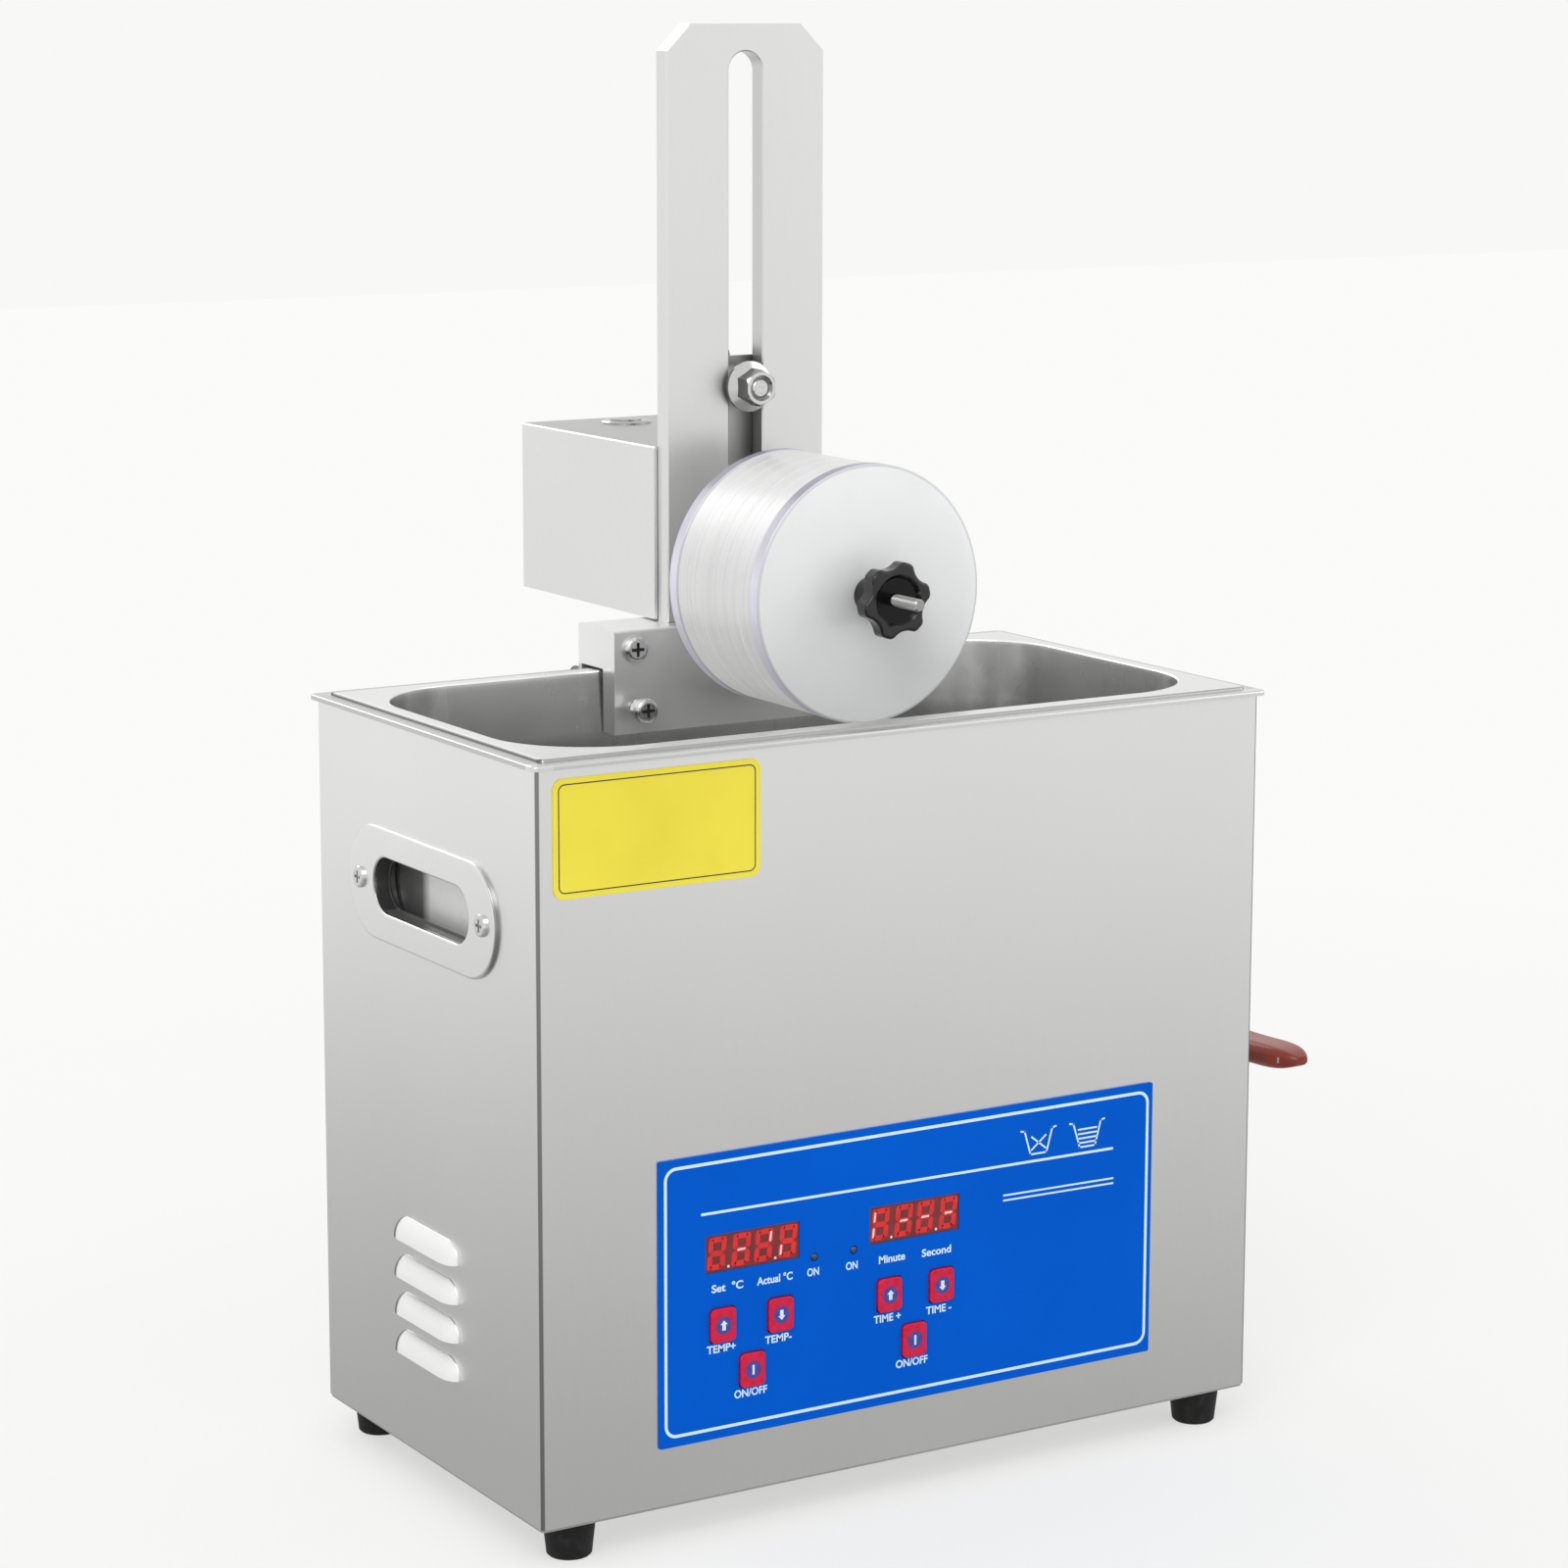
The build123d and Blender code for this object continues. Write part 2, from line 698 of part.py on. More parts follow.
# ---------------------------------------------------------------- generator and transducers
def generator_board():
    """Driver board on the base plate with its ferrite transformer and two tall capacitors."""
    z = casing_z0 + generator_lift
    board = block(-generator_w / 2, generator_w / 2, generator_y - generator_d / 2,
                  generator_y + generator_d / 2, z, z + board_t)
    core_x = -generator_w / 4
    core_y = generator_y + generator_d / 2 - core_side
    top = z + board_t
    core = block(core_x - core_side / 2, core_x + core_side / 2, core_y - core_side / 2,
                 core_y + core_side / 2, top, top + core_h)
    board += fillet(core.edges().filter_by(Axis.Z), 2)
    for side in (-1, 1):
        board += post(capacitor_d, side * capacitor_dx, generator_y - generator_d / 4, top, top + capacitor_h)
    return board


def generator_heatsink():
    """Extruded aluminium sink along the board's right edge, with upright fins."""
    z = casing_z0 + generator_lift + board_t
    x1 = generator_w / 2
    x0 = x1 - sink_d
    foot = block(x0, x1, generator_y - sink_w / 2, generator_y + sink_w / 2, z, z + sink_foot_t)
    fins = int((sink_w - sink_fin_t) / sink_fin_pitch) + 1
    for i in range(fins):
        y = generator_y - sink_w / 2 + i * sink_fin_pitch
        foot += block(x0, x1, y, y + sink_fin_t, z, z + sink_h)
    return foot


def horn_places():
    """X of each transducer: evenly spaced between the tank's left end and the drain."""
    first = horn_from_end - tank_len / 2
    pitch = (drain_x - horn_from_drain - first) / (horn_count - 1)
    return [first + i * pitch for i in range(horn_count)]


def transducer_masses():
    """Front and back masses of three bonded transducers: a cone under the tank and a drum below."""
    z = tank_floor - sheet
    stack = ceramic_count * ceramic_t
    cone = turned((0, 0), (horn_top_d / 2, 0), (horn_top_d / 2, -horn_band),
                  (horn_low_d / 2, -horn_h + horn_neck), (horn_low_d / 2, -horn_h), (0, -horn_h))
    drum = Pos(0, 0, -horn_h - stack - mass_h) * post(ceramic_d, 0, 0, 0, mass_h)
    return [Pos(x, 0, z) * piece for x in horn_places() for piece in (cone, drum)]


def transducer_ceramics():
    """The piezo rings between the masses of each transducer."""
    top = tank_floor - sheet - horn_h
    ring = Circle(ceramic_d / 2) - Circle(ceramic_bore / 2)
    return [slab_z(Pos(x, 0) * ring, top - (i + 1) * ceramic_t, top - i * ceramic_t)
            for x in horn_places() for i in range(ceramic_count)]


def heater_pads():
    """Bonded heating strips on the tank's front and back walls, leaning with the draft."""
    lean = tank_draft / (tank_depth + sheet)
    z0 = tank_floor + tank_floor_r + heater_above_round
    y0 = -tank_wide / 2 - sheet + lean * (rim_top - z0)
    y1 = -tank_wide / 2 - sheet + lean * (rim_top - z0 - heater_h)
    side = make_face(Polyline((y0, z0), (y1, z0 + heater_h), (y1 - heater_t, z0 + heater_h),
                              (y0 - heater_t, z0), close=True))
    pad = slab_x(side, -heater_w / 2, heater_w / 2)
    return [pad, mirror(pad, about=Plane.XZ)]


# ---------------------------------------------------------------- drain
def drain_pipe():
    """Flanged elbow from the tank floor out through the right wall."""
    top = tank_floor - sheet
    path = FilletPolyline((drain_x, 0, top), (drain_x, 0, valve_z),
                          (right_x + pipe_in_valve, 0, valve_z), radius=pipe_bend)
    outer = sweep(Plane(origin=(drain_x, 0, top), z_dir=(0, 0, -1)) * Circle(pipe_d / 2), path)
    bore = sweep(Plane(origin=(drain_x, 0, top), z_dir=(0, 0, -1)) * Circle(drain_bore / 2), path)
    flange = post(pipe_flange_d, drain_x, 0, top - pipe_flange_t, top)
    return outer + flange - bore


def drain_valve_body():
    """Ball valve: a hexagon each end, a round waist with the stem's neck, and a barbed hose tail."""
    waist0 = valve_inlet_len
    waist1 = 2 * stem_out - valve_inlet_len
    out1 = waist1 + valve_outlet_len
    hexagon = RegularPolygon(valve_hex / 2, 6, major_radius=False)
    body = slab_z(hexagon, 0, waist0)
    body += fillet(post(valve_round_d, 0, 0, waist0, waist1).edges().filter_by(GeomType.CIRCLE), 3)
    body += slab_z(hexagon, waist1, out1)
    root = hose_tail_d / 2 - 1
    barb = hose_tail_len / 3
    profile = [(0, out1), (root, out1)]
    for i in range(3):
        profile += [(hose_tail_d / 2, out1 + i * barb), (root, out1 + (i + 1) * barb)]
    profile += [(0, out1 + hose_tail_len)]
    body += turned(*profile)
    body -= post(drain_bore, 0, 0, 0, out1 + hose_tail_len)
    body -= post(pipe_d + 2 * seat_gap, 0, 0, 0, pipe_in_valve)
    body -= Pos(0, 0, stem_out) * Sphere(ball_d / 2 + run_gap)
    placed = facing_right(right_x, 0, valve_z) * body
    stem_x = right_x + stem_out
    placed += post(stem_neck_d, stem_x, 0, valve_z + ball_d / 2 + 1, valve_z + stem_neck_top)
    return placed - post(stem_d + 2 * run_gap, stem_x, 0, valve_z, valve_z + stem_neck_top)


def drain_stem():
    """The ball and its stem in one, with the nut that holds the lever on top."""
    x = right_x + stem_out
    ball = Pos(x, 0, valve_z) * Sphere(ball_d / 2)
    ball -= pin(drain_bore, x, valve_z, -ball_d, ball_d)
    nut_z = lever_z + lever_t
    stem = post(stem_d, x, 0, valve_z + ball_d / 2 - stem_proud, nut_z + stem_nut_h + stem_proud)
    nut = slab_z(Pos(x, 0) * RegularPolygon(stem_nut / 2, 6, major_radius=False), nut_z, nut_z + stem_nut_h)
    return ball + stem + nut


def drain_lever():
    """Flat lever that points to the front when the valve is shut, cranked up towards its grip."""
    x = right_x + stem_out
    bend0, bend1 = lever_crank_y
    high = lever_z + lever_crank
    end = grip_over - lever_len
    side = Polyline((lever_w / 2, lever_z), (bend0, lever_z), (bend1, high), (end, high + grip_rise),
                    (end, high + grip_rise + lever_t), (bend1, high + lever_t), (bend0, lever_z + lever_t),
                    (lever_w / 2, lever_z + lever_t), close=True)
    bar = slab_x(make_face(side), x - lever_w / 2, x + lever_w / 2)
    bar += slab_x(Pos(0, lever_z + lever_t / 2) * Rectangle(lever_w, lever_t), x - lever_hub_w / 2,
                  x + lever_hub_w / 2)
    return bar - post(stem_d, x, 0, lever_z, lever_z + lever_t)


def drain_grip():
    """Dipped vinyl sleeve over the lever, thickest near its root and rounded at the tip."""
    x = right_x + stem_out
    root = grip_len - lever_len
    mid = lever_z + lever_crank + lever_t / 2
    lean = grip_rise / (grip_len - grip_over)
    stations = ((0, 0.8), (0.1, 1.0), (0.63, 1.0), (0.9, 0.78), (1.0, 0.34))
    sections = []
    for along, share in stations:
        outline = RectangleRounded(grip_w * share, grip_h * share, grip_h * share * 0.42)
        place = facing_front(x, root - along * grip_len, mid + along * grip_len * lean)
        sections.append((place * outline).face())
    return loft(sections) - drain_lever()


# ---------------------------------------------------------------- mains inlet
def mains_inlet():
    """Moulded inlet on the back wall: a three-pin socket below and the rocker's well above."""
    outer = RectangleRounded(inlet_w + 2 * inlet_flange, inlet_h + 2 * inlet_flange, 4)
    flange = slab_z(outer, 0, inlet_flange_t)
    flange = chamfer(flange.edges().group_by(Axis.Z)[-1], 0.8)
    body = flange + slab_z(Rectangle(inlet_w - seat_gap, inlet_h - seat_gap), -inlet_body_d, 0)
    socket = Pos(0, -inlet_h / 4) * chamfer(Rectangle(socket_w, socket_h).vertices().group_by(Axis.Y)[-1], 4)
    body -= slab_z(socket, inlet_flange_t - socket_depth, inlet_flange_t)
    for dx, dy in ((-7, -2), (0, 2), (7, -2)):
        pin_blade = Pos(dx, dy - inlet_h / 4) * Rectangle(2, 4)
        body += slab_z(pin_blade, inlet_flange_t - socket_depth, -socket_pin_in)
    well = Pos(0, inlet_h / 4) * Rectangle(rocker_w + 2 * run_gap, rocker_h + 2 * run_gap)
    body -= slab_z(well, -rocker_well, inlet_flange_t)
    return facing_back(inlet_x, back_y, inlet_z) * body


def mains_rocker():
    """Rocker switch cap: a round-bottomed wedge that tips about a pin along X."""
    disc = Circle(rocker_h / 2)
    low = rocker_h / 2 - 1.4
    top = make_face(Polyline((-rocker_h / 2, 0), (rocker_h / 2, 0), (low, 3.0), (0, 1.6), (-low, 4.6),
                             close=True))
    side = disc + top
    cap = extrude(Plane.YZ.offset(-rocker_w / 2) * side, rocker_w)
    return facing_back(inlet_x, back_y - rocker_axis_in, inlet_z + inlet_h / 4) * cap


# ---------------------------------------------------------------- saddle
def saddle_bracket():
    """Folded bracket that straddles the rear rim, with cheeks notched for the rim."""
    x0 = lift_x - saddle_w / 2
    x1 = lift_x + saddle_w / 2
    body = block(x0, x1, saddle_front, saddle_back, saddle_low, saddle_top)
    body = fillet(body.edges().filter_by(Axis.X).group_by(Axis.Z)[-1], saddle_t * 0.4)
    body -= block(x0 + saddle_t, x1 - saddle_t, saddle_front + saddle_t, saddle_back - saddle_t,
                  saddle_low, saddle_top - saddle_t)
    notch_y = saddle_front + saddle_return
    body -= block(x0, x1, notch_y, saddle_back - saddle_t, saddle_low, rim_top + cheek_gap)
    for side in (-1, 1):
        x = lift_x + side * saddle_screw_dx
        for below in (saddle_screw_below_top, clamp_screw_below_top):
            body -= pin(saddle_screw_d, x, saddle_top - below, saddle_front, saddle_front + saddle_t)
        body -= pin(hand_stud_d + 2 * run_gap, lift_x + side * hand_knob_dx, hand_knob_z,
                    saddle_back - saddle_t, saddle_back)
        body -= post(screw_d + 2 * seat_gap, lift_x + side * mast_screw_dx, mast_front + mast_t / 2,
                     saddle_top - saddle_t, saddle_top)
    return body


def foot_block():
    """Aluminium bar inside the saddle; it carries the mast's screws and rests on the rim's pads."""
    clear = seat_gap
    x0 = lift_x - saddle_w / 2 + saddle_t + clear
    x1 = lift_x + saddle_w / 2 - saddle_t - clear
    y0 = saddle_front + saddle_t + clear
    y1 = saddle_back - saddle_t - clear
    body = block(x0, x1, y0, y1, rim_top + pad_t, saddle_top - saddle_t)
    for side in (-1, 1):
        x = lift_x + side * mast_screw_dx
        body -= post(screw_d + 2 * seat_gap, x, mast_front + mast_t / 2, rim_top, saddle_top)
        body -= post(pan_head_d + 1, x, mast_front + mast_t / 2, rim_top, mast_screw_seat)
        body -= pin(saddle_screw_d, lift_x + side * saddle_screw_dx, saddle_top - saddle_screw_below_top,
                    y0, y0 + saddle_shank - saddle_t)
    return body


def saddle_pads():
    """Two rubber strips on the rim's land, under the ends of the foot block."""
    y0 = tank_wide / 2 + rim_roll + 1
    y1 = back_y - rim_land_in - rim_roll
    pads = []
    for side in (-1, 1):
        x = lift_x + side * (saddle_w / 2 - saddle_t - pad_len / 2 - 1)
        pads.append(block(x - pad_len / 2, x + pad_len / 2, y0, y1, rim_top, rim_top + pad_t))
    return pads


def clamp_screws():
    """Two clamp screws tapped through the saddle's front plate, tips on the tank wall, lock nuts run back."""
    depth = rim_top - saddle_top + clamp_screw_below_top + saddle_screw_d / 2
    tip = tank_wide / 2 - tank_draft * depth / tank_depth
    head_y = saddle_front - clamp_screw_proud + clamp_head_h
    solids = []
    for side in (-1, 1):
        x = lift_x + side * saddle_screw_dx
        z = saddle_top - clamp_screw_below_top
        screw = pan_head_screw(saddle_head_d, clamp_head_h, saddle_screw_d - 2 * seat_gap,
                               tip - seat_gap - head_y)
        solids.append(facing_front(x, head_y, z) * screw)
        nut = RegularPolygon(clamp_nut_af / 2, 6, major_radius=False) - Circle(saddle_screw_d / 2)
        solids.append(slab_y(Pos(x, z) * nut, head_y, head_y + clamp_nut_t))
    return solids


def hand_clamp(x):
    """Rear clamp: a fluted knob on a stud that bears on the casing's back wall."""
    knob_y0 = saddle_back + hand_knob_out
    reach = knob_y0 - back_y - run_gap
    lobes = PolarLocations(hand_knob_d / 2 - hand_knob_lobe_r, hand_knob_lobes) * Circle(hand_knob_lobe_r)
    knob = slab_z(Circle(hand_knob_core / 2) + lobes, 0, hand_knob_t)
    knob = chamfer(knob.edges().group_by(Axis.Z)[-1], 0.7)
    collar = turned((0, 0), (hand_stud_d, 0), (hand_stud_d - 1, -3), (0, -3))
    stud = post(hand_stud_d, 0, 0, -reach, 0)
    return facing_back(x, knob_y0, hand_knob_z) * (knob + collar + stud)


def rear_clamp_left():
    return hand_clamp(lift_x - hand_knob_dx)


def rear_clamp_right():
    return hand_clamp(lift_x + hand_knob_dx)


def fixing_screws():
    """All pan-head screws of the fixed body: feet, handle pans, saddle front and mast foot."""
    screws = [Pos(x, y, 0) * foot_screw() for x, y in foot_places()]
    handle = pan_head_screw(pan_head_d, handle_head_h, screw_d, handle_t + sheet + 5)
    for side in (-1, 1):
        placed = facing_left(left_x - handle_t, side * handle_screw_y, handle_z) * handle
        screws += [placed, to_right(placed)]
        saddle = pan_head_screw(saddle_head_d, pan_head_h, saddle_screw_d - 2 * seat_gap,
                                saddle_shank - seat_gap)
        screws.append(facing_front(lift_x + side * saddle_screw_dx, saddle_front,
                                   saddle_top - saddle_screw_below_top) * saddle)
        mast_screw = pan_head_screw(pan_head_d, pan_head_h, screw_d, mast_screw_len)
        placed = Pos(lift_x + side * mast_screw_dx, mast_front + mast_t / 2, mast_screw_seat)
        screws.append(placed * (Rot(180, 0, 0) * mast_screw))
    return screws


# ---------------------------------------------------------------- mast
def mast():
    """Thick plate with clipped top corners, a long slot and two tapped holes in its foot."""
    half = mast_w / 2
    outline = make_face(Polyline(
        (lift_x - half, saddle_top), (lift_x + half, saddle_top), (lift_x + half, mast_top - mast_chamfer),
        (lift_x + half - mast_chamfer, mast_top), (lift_x - half + mast_chamfer, mast_top),
        (lift_x - half, mast_top - mast_chamfer), close=True))
    slot_z0 = spindle_z - hub_d / 2 - slot_below_hub
    slot = Pos(lift_x, (slot_z0 + slot_top) / 2) * SlotOverall(slot_top - slot_z0, slot_w, rotation=90)
    plate = slab_y(outline - slot, mast_front, mast_back)
    plate = chamfer(plate.edges().group_by(Axis.Y)[0], 0.5)
    for side in (-1, 1):
        plate -= post(screw_d + 2 * seat_gap, lift_x + side * mast_screw_dx, mast_front + mast_t / 2,
                      saddle_top, mast_screw_seat + mast_screw_len + seat_gap)
    return plate


# ---------------------------------------------------------------- carriage
def carriage_plate():
    """Front plate of the motor box with the clamp lug that stands above it."""
    plate = Pos(lift_x, (box_z0 + box_z1) / 2) * Rectangle(box_w - 2 * box_sheet, box_h - 2 * box_sheet)
    lug = Pos(lift_x, (box_z0 + lug_top) / 2) * Rectangle(lug_w, lug_top - box_z0)
    lug = fillet(lug.vertices().group_by(Axis.Y)[-1], lug_corner)
    low = Pos(lift_x, box_z0 + box_sheet / 2) * Rectangle(lug_w, box_sheet)
    solid = slab_y(plate + lug - low, plate_front, plate_back)
    solid -= pin(clamp_thread_d + 2 * seat_gap, lift_x, clamp_z, plate_front, plate_back)
    return solid - pin(motor_bearing_d + 2 * seat_gap, lift_x, spindle_z, plate_front, plate_back)


def motor_box():
    """Folded cover: two sides and a top, notched for the lug, with a hole for the power button."""
    x0 = lift_x - box_w / 2
    x1 = lift_x + box_w / 2
    body = block(x0, x1, plate_front, box_back, box_z0, box_z1)
    body = fillet(body.edges().filter_by(Axis.Y).group_by(Axis.Z)[-1], box_sheet)
    body -= block(x0 + box_sheet, x1 - box_sheet, plate_front, box_back, box_z0, box_z1 - box_sheet)
    body -= block(lift_x - lug_w / 2 - seat_gap, lift_x + lug_w / 2 + seat_gap, plate_front,
                  plate_back + seat_gap, box_z1 - box_sheet, box_z1)
    return body - post(power_button_body_d + 2 * seat_gap, lift_x, power_button_y, box_z1 - box_sheet, box_z1)


def motor_box_cover():
    """Folded bottom and back of the motor box, with side flanges inside the cover above."""
    x0 = lift_x - box_w / 2 + box_sheet + seat_gap
    x1 = lift_x + box_w / 2 - box_sheet - seat_gap
    y0 = plate_back + seat_gap
    z1 = box_z1 - box_sheet - seat_gap
    body = block(x0, x1, y0, box_back, box_z0, z1)
    inner_z0 = box_z0 + box_sheet
    body -= block(x0 + box_sheet, x1 - box_sheet, y0, box_back - box_sheet, inner_z0, z1)
    body -= block(x0, x1, y0, box_back - box_flange, box_z0 + box_flange, z1)
    return body - pin(jack_d + 2 * seat_gap, lift_x + jack_dx, spindle_z, box_back - box_sheet, box_back)


def gear_motor():
    """Gear motor bolted to the carriage plate: a flat gearbox with its bearing, and the motor behind."""
    body = post(gearbox_d, 0, 0, 0, gearbox_len)
    body = chamfer(body.edges().group_by(Axis.Z)[-1], 1.5)
    body += post(motor_d, 0, 0, gearbox_len, gearbox_len + motor_len)
    body += post(motor_bearing_d, 0, 0, plate_front - plate_back, 0)
    body -= post(shaft_d + 2 * run_gap, 0, 0, plate_front - plate_back, shaft_in)
    return facing_back(lift_x, plate_back, spindle_z) * body


def power_button_body():
    """Metal push-button body: a chamfered flange on the box's top, the threaded barrel below."""
    r = power_button_flange_d / 2
    hole = power_button_d / 2 + run_gap
    barrel = power_button_body_d / 2
    profile = [(hole, power_button_flange_t), (r - 0.8, power_button_flange_t), (r, 0.5), (r, 0),
               (barrel, 0), (barrel, -power_button_body_len), (0, -power_button_body_len),
               (0, -power_button_body_len + 2), (hole, -power_button_body_len + 2)]
    return Pos(lift_x, power_button_y, box_z1) * turned(*profile)


def power_button():
    """Domed plunger of the push button."""
    r = power_button_d / 2
    proud = power_button_flange_t + power_button_proud
    low = -power_button_body_len + 2 + power_button_travel + run_gap
    cap = post(power_button_d, 0, 0, low, proud)
    dome_r = (r * r + power_button_dome ** 2) / (2 * power_button_dome)
    dome = Pos(0, 0, proud + power_button_dome - dome_r) * Sphere(dome_r)
    dome &= post(power_button_d, 0, 0, proud, proud + power_button_dome)
    cap = cap + dome
    return Pos(lift_x, power_button_y, box_z1) * cap


def power_jack():
    """Low-voltage jack in the box's back: a flange outside, a barrel inside, an open bore."""
    body = post(jack_flange_d, 0, 0, 0, 1.6)
    body += post(jack_d, 0, 0, -jack_len, 0)
    body -= post(jack_bore_d, 0, 0, -jack_len + 3, 1.6)
    body += post(1.6, 0, 0, -jack_len + 3, 0)
    return facing_back(lift_x + jack_dx, box_back, spindle_z) * body


def clamp_bolt():
    """Shouldered stud: the shoulder guides in the slot, the thread runs back through the lug."""
    shoulder_r = slot_r - run_gap
    r = clamp_thread_d / 2
    edge = 0.8
    front = clamp_nut_z1 - clamp_bolt_below
    shoulder_front = -slide_gap
    shoulder_back = -(mast_t + slide_gap)
    back = -(mast_t + slide_gap + carriage_t + knob_boss_len + knob_head_t - knob_bowl_depth - 2)
    profile = [(0, front), (r - edge, front), (r, front - edge), (r, shoulder_front),
               (shoulder_r, shoulder_front), (shoulder_r, shoulder_back), (r, shoulder_back), (r, back),
               (0, back)]
    return facing_front(lift_x, mast_front, clamp_z) * turned(*profile)


def clamp_washer():
    """Plain washer between the mast and the nut."""
    ring = Circle(clamp_washer_d / 2) - Circle(clamp_thread_d / 2)
    return facing_front(lift_x, mast_front, clamp_z) * slab_z(ring, slide_gap, clamp_nut_z0)


def clamp_nut():
    """Flanged hexagon nut, bevelled and countersunk in front."""
    bore = clamp_thread_d / 2
    z0 = clamp_nut_z0
    z1 = clamp_nut_z1
    rim = clamp_nut_flange_d / 2
    corner = clamp_nut_hex / 2 / cos(radians(30))
    cone_z = z0 + clamp_nut_flange_t + clamp_nut_cone_t
    flange = turned((bore, z0), (rim, z0), (rim, z0 + clamp_nut_flange_t), (clamp_nut_hex / 2, cone_z),
                    (bore, cone_z))
    hexagon = RegularPolygon(clamp_nut_hex / 2, 6, major_radius=False, rotation=30)
    bevel = turned((0, z0), (corner, z0), (corner, z1 - clamp_nut_bevel), (clamp_nut_hex / 2, z1), (0, z1))
    nut = flange + (slab_z(hexagon, z0, z1) & bevel)
    nut -= turned((0, z1 - clamp_nut_sink), (bore, z1 - clamp_nut_sink), (clamp_nut_sink_d / 2, z1), (0, z1))
    return facing_front(lift_x, mast_front, clamp_z) * (nut - post(clamp_thread_d, 0, 0, z0, z1))


# ---------------------------------------------------------------- knobs
def star_outline():
    """Round outline with six scallops, the lobes between them blended."""
    first = knob_phase + 180 / knob_lobes
    scallops = PolarLocations(knob_scallop_at, knob_lobes, start_angle=first) * Circle(knob_scallop_r)
    return fillet((Circle(knob_d / 2) - scallops).vertices(), knob_blend)


def star_handle(bore_d):
    """Moulded star knob along +Z: a tapered boss, a lobed head and a bowl in its face."""
    head_z = knob_boss_len
    top = head_z + knob_head_t
    head = slab_z(star_outline(), head_z, top)
    head = fillet(head.edges().group_by(Axis.Z)[-1], knob_edge)
    head = fillet(head.edges().group_by(Axis.Z)[0], knob_edge * 0.6)
    boss = turned((0, 0), (knob_boss_d / 2, 0), (knob_boss_root_d / 2, head_z), (0, head_z))
    bowl = turned((0, top - knob_bowl_depth), (knob_bowl_floor_d / 2, top - knob_bowl_depth),
                  (knob_bowl_d / 2, top), (0, top))
    return head + boss - bowl - post(bore_d, 0, 0, 0, top)


def star_knob():
    """Front knob that clamps the stack."""
    return facing_front(lift_x, stack_front, spindle_z) * star_handle(rod_d + 2 * run_gap)


def rear_star_knob():
    """Knob behind the lug that clamps the carriage to the mast."""
    handle = Rot(0, 0, rear_knob_phase) * star_handle(clamp_thread_d + 2 * run_gap)
    return facing_back(lift_x, plate_back + slide_gap, clamp_z) * handle


# ---------------------------------------------------------------- spindle and stack
def spindle_hub():
    """Flanged hub behind the rear disc; its stem passes the slot and its shaft enters the gearbox."""
    back = plate_front - run_gap
    depth = back - stack_back
    shaft_end = plate_back + shaft_in - 1 - stack_back
    profile = [(rod_d / 2, 0), (hub_flange_d / 2, 0), (hub_flange_d / 2, hub_flange_t - 0.6),
               (hub_flange_d / 2 - 0.6, hub_flange_t), (hub_d / 2, hub_flange_t), (hub_d / 2, depth),
               (shaft_d / 2, depth), (shaft_d / 2, shaft_end), (0, shaft_end), (0, rod_in_hub),
               (rod_d / 2, rod_in_hub)]
    return facing_back(lift_x, stack_back, spindle_z) * turned(*profile)


def spindle_rod():
    """Threaded rod that carries the stack."""
    length = stack_back + rod_in_hub - (stack_front - rod_out)
    rod = chamfer(post(rod_d, 0, 0, 0, length).edges().group_by(Axis.Z)[-1], 0.6)
    return facing_front(lift_x, stack_back + rod_in_hub, spindle_z) * rod


def plain_disc(d, t, edge, bore):
    """Disc along +Z with both rims chamfered."""
    disc = post(d, 0, 0, 0, t)
    disc = chamfer(disc.edges().filter_by(GeomType.CIRCLE), edge)
    return disc - post(bore, 0, 0, 0, t)


def rear_disc():
    return facing_front(lift_x, stack_back, spindle_z) * plain_disc(disc_d, disc_t, disc_edge, rod_d)


def front_disc():
    bore = rod_d + 2 * run_gap
    return facing_front(lift_x, spacers_front, spindle_z) * plain_disc(disc_d, disc_t, disc_edge, bore)


def record_spacer(i):
    """Spacer number i from the back; a record is clamped between each two."""
    bore = rod_d + 2 * run_gap
    return facing_front(lift_x, spacers_back - i * spacer_t, spindle_z) * plain_disc(
        spacer_d, spacer_t, spacer_edge, bore)


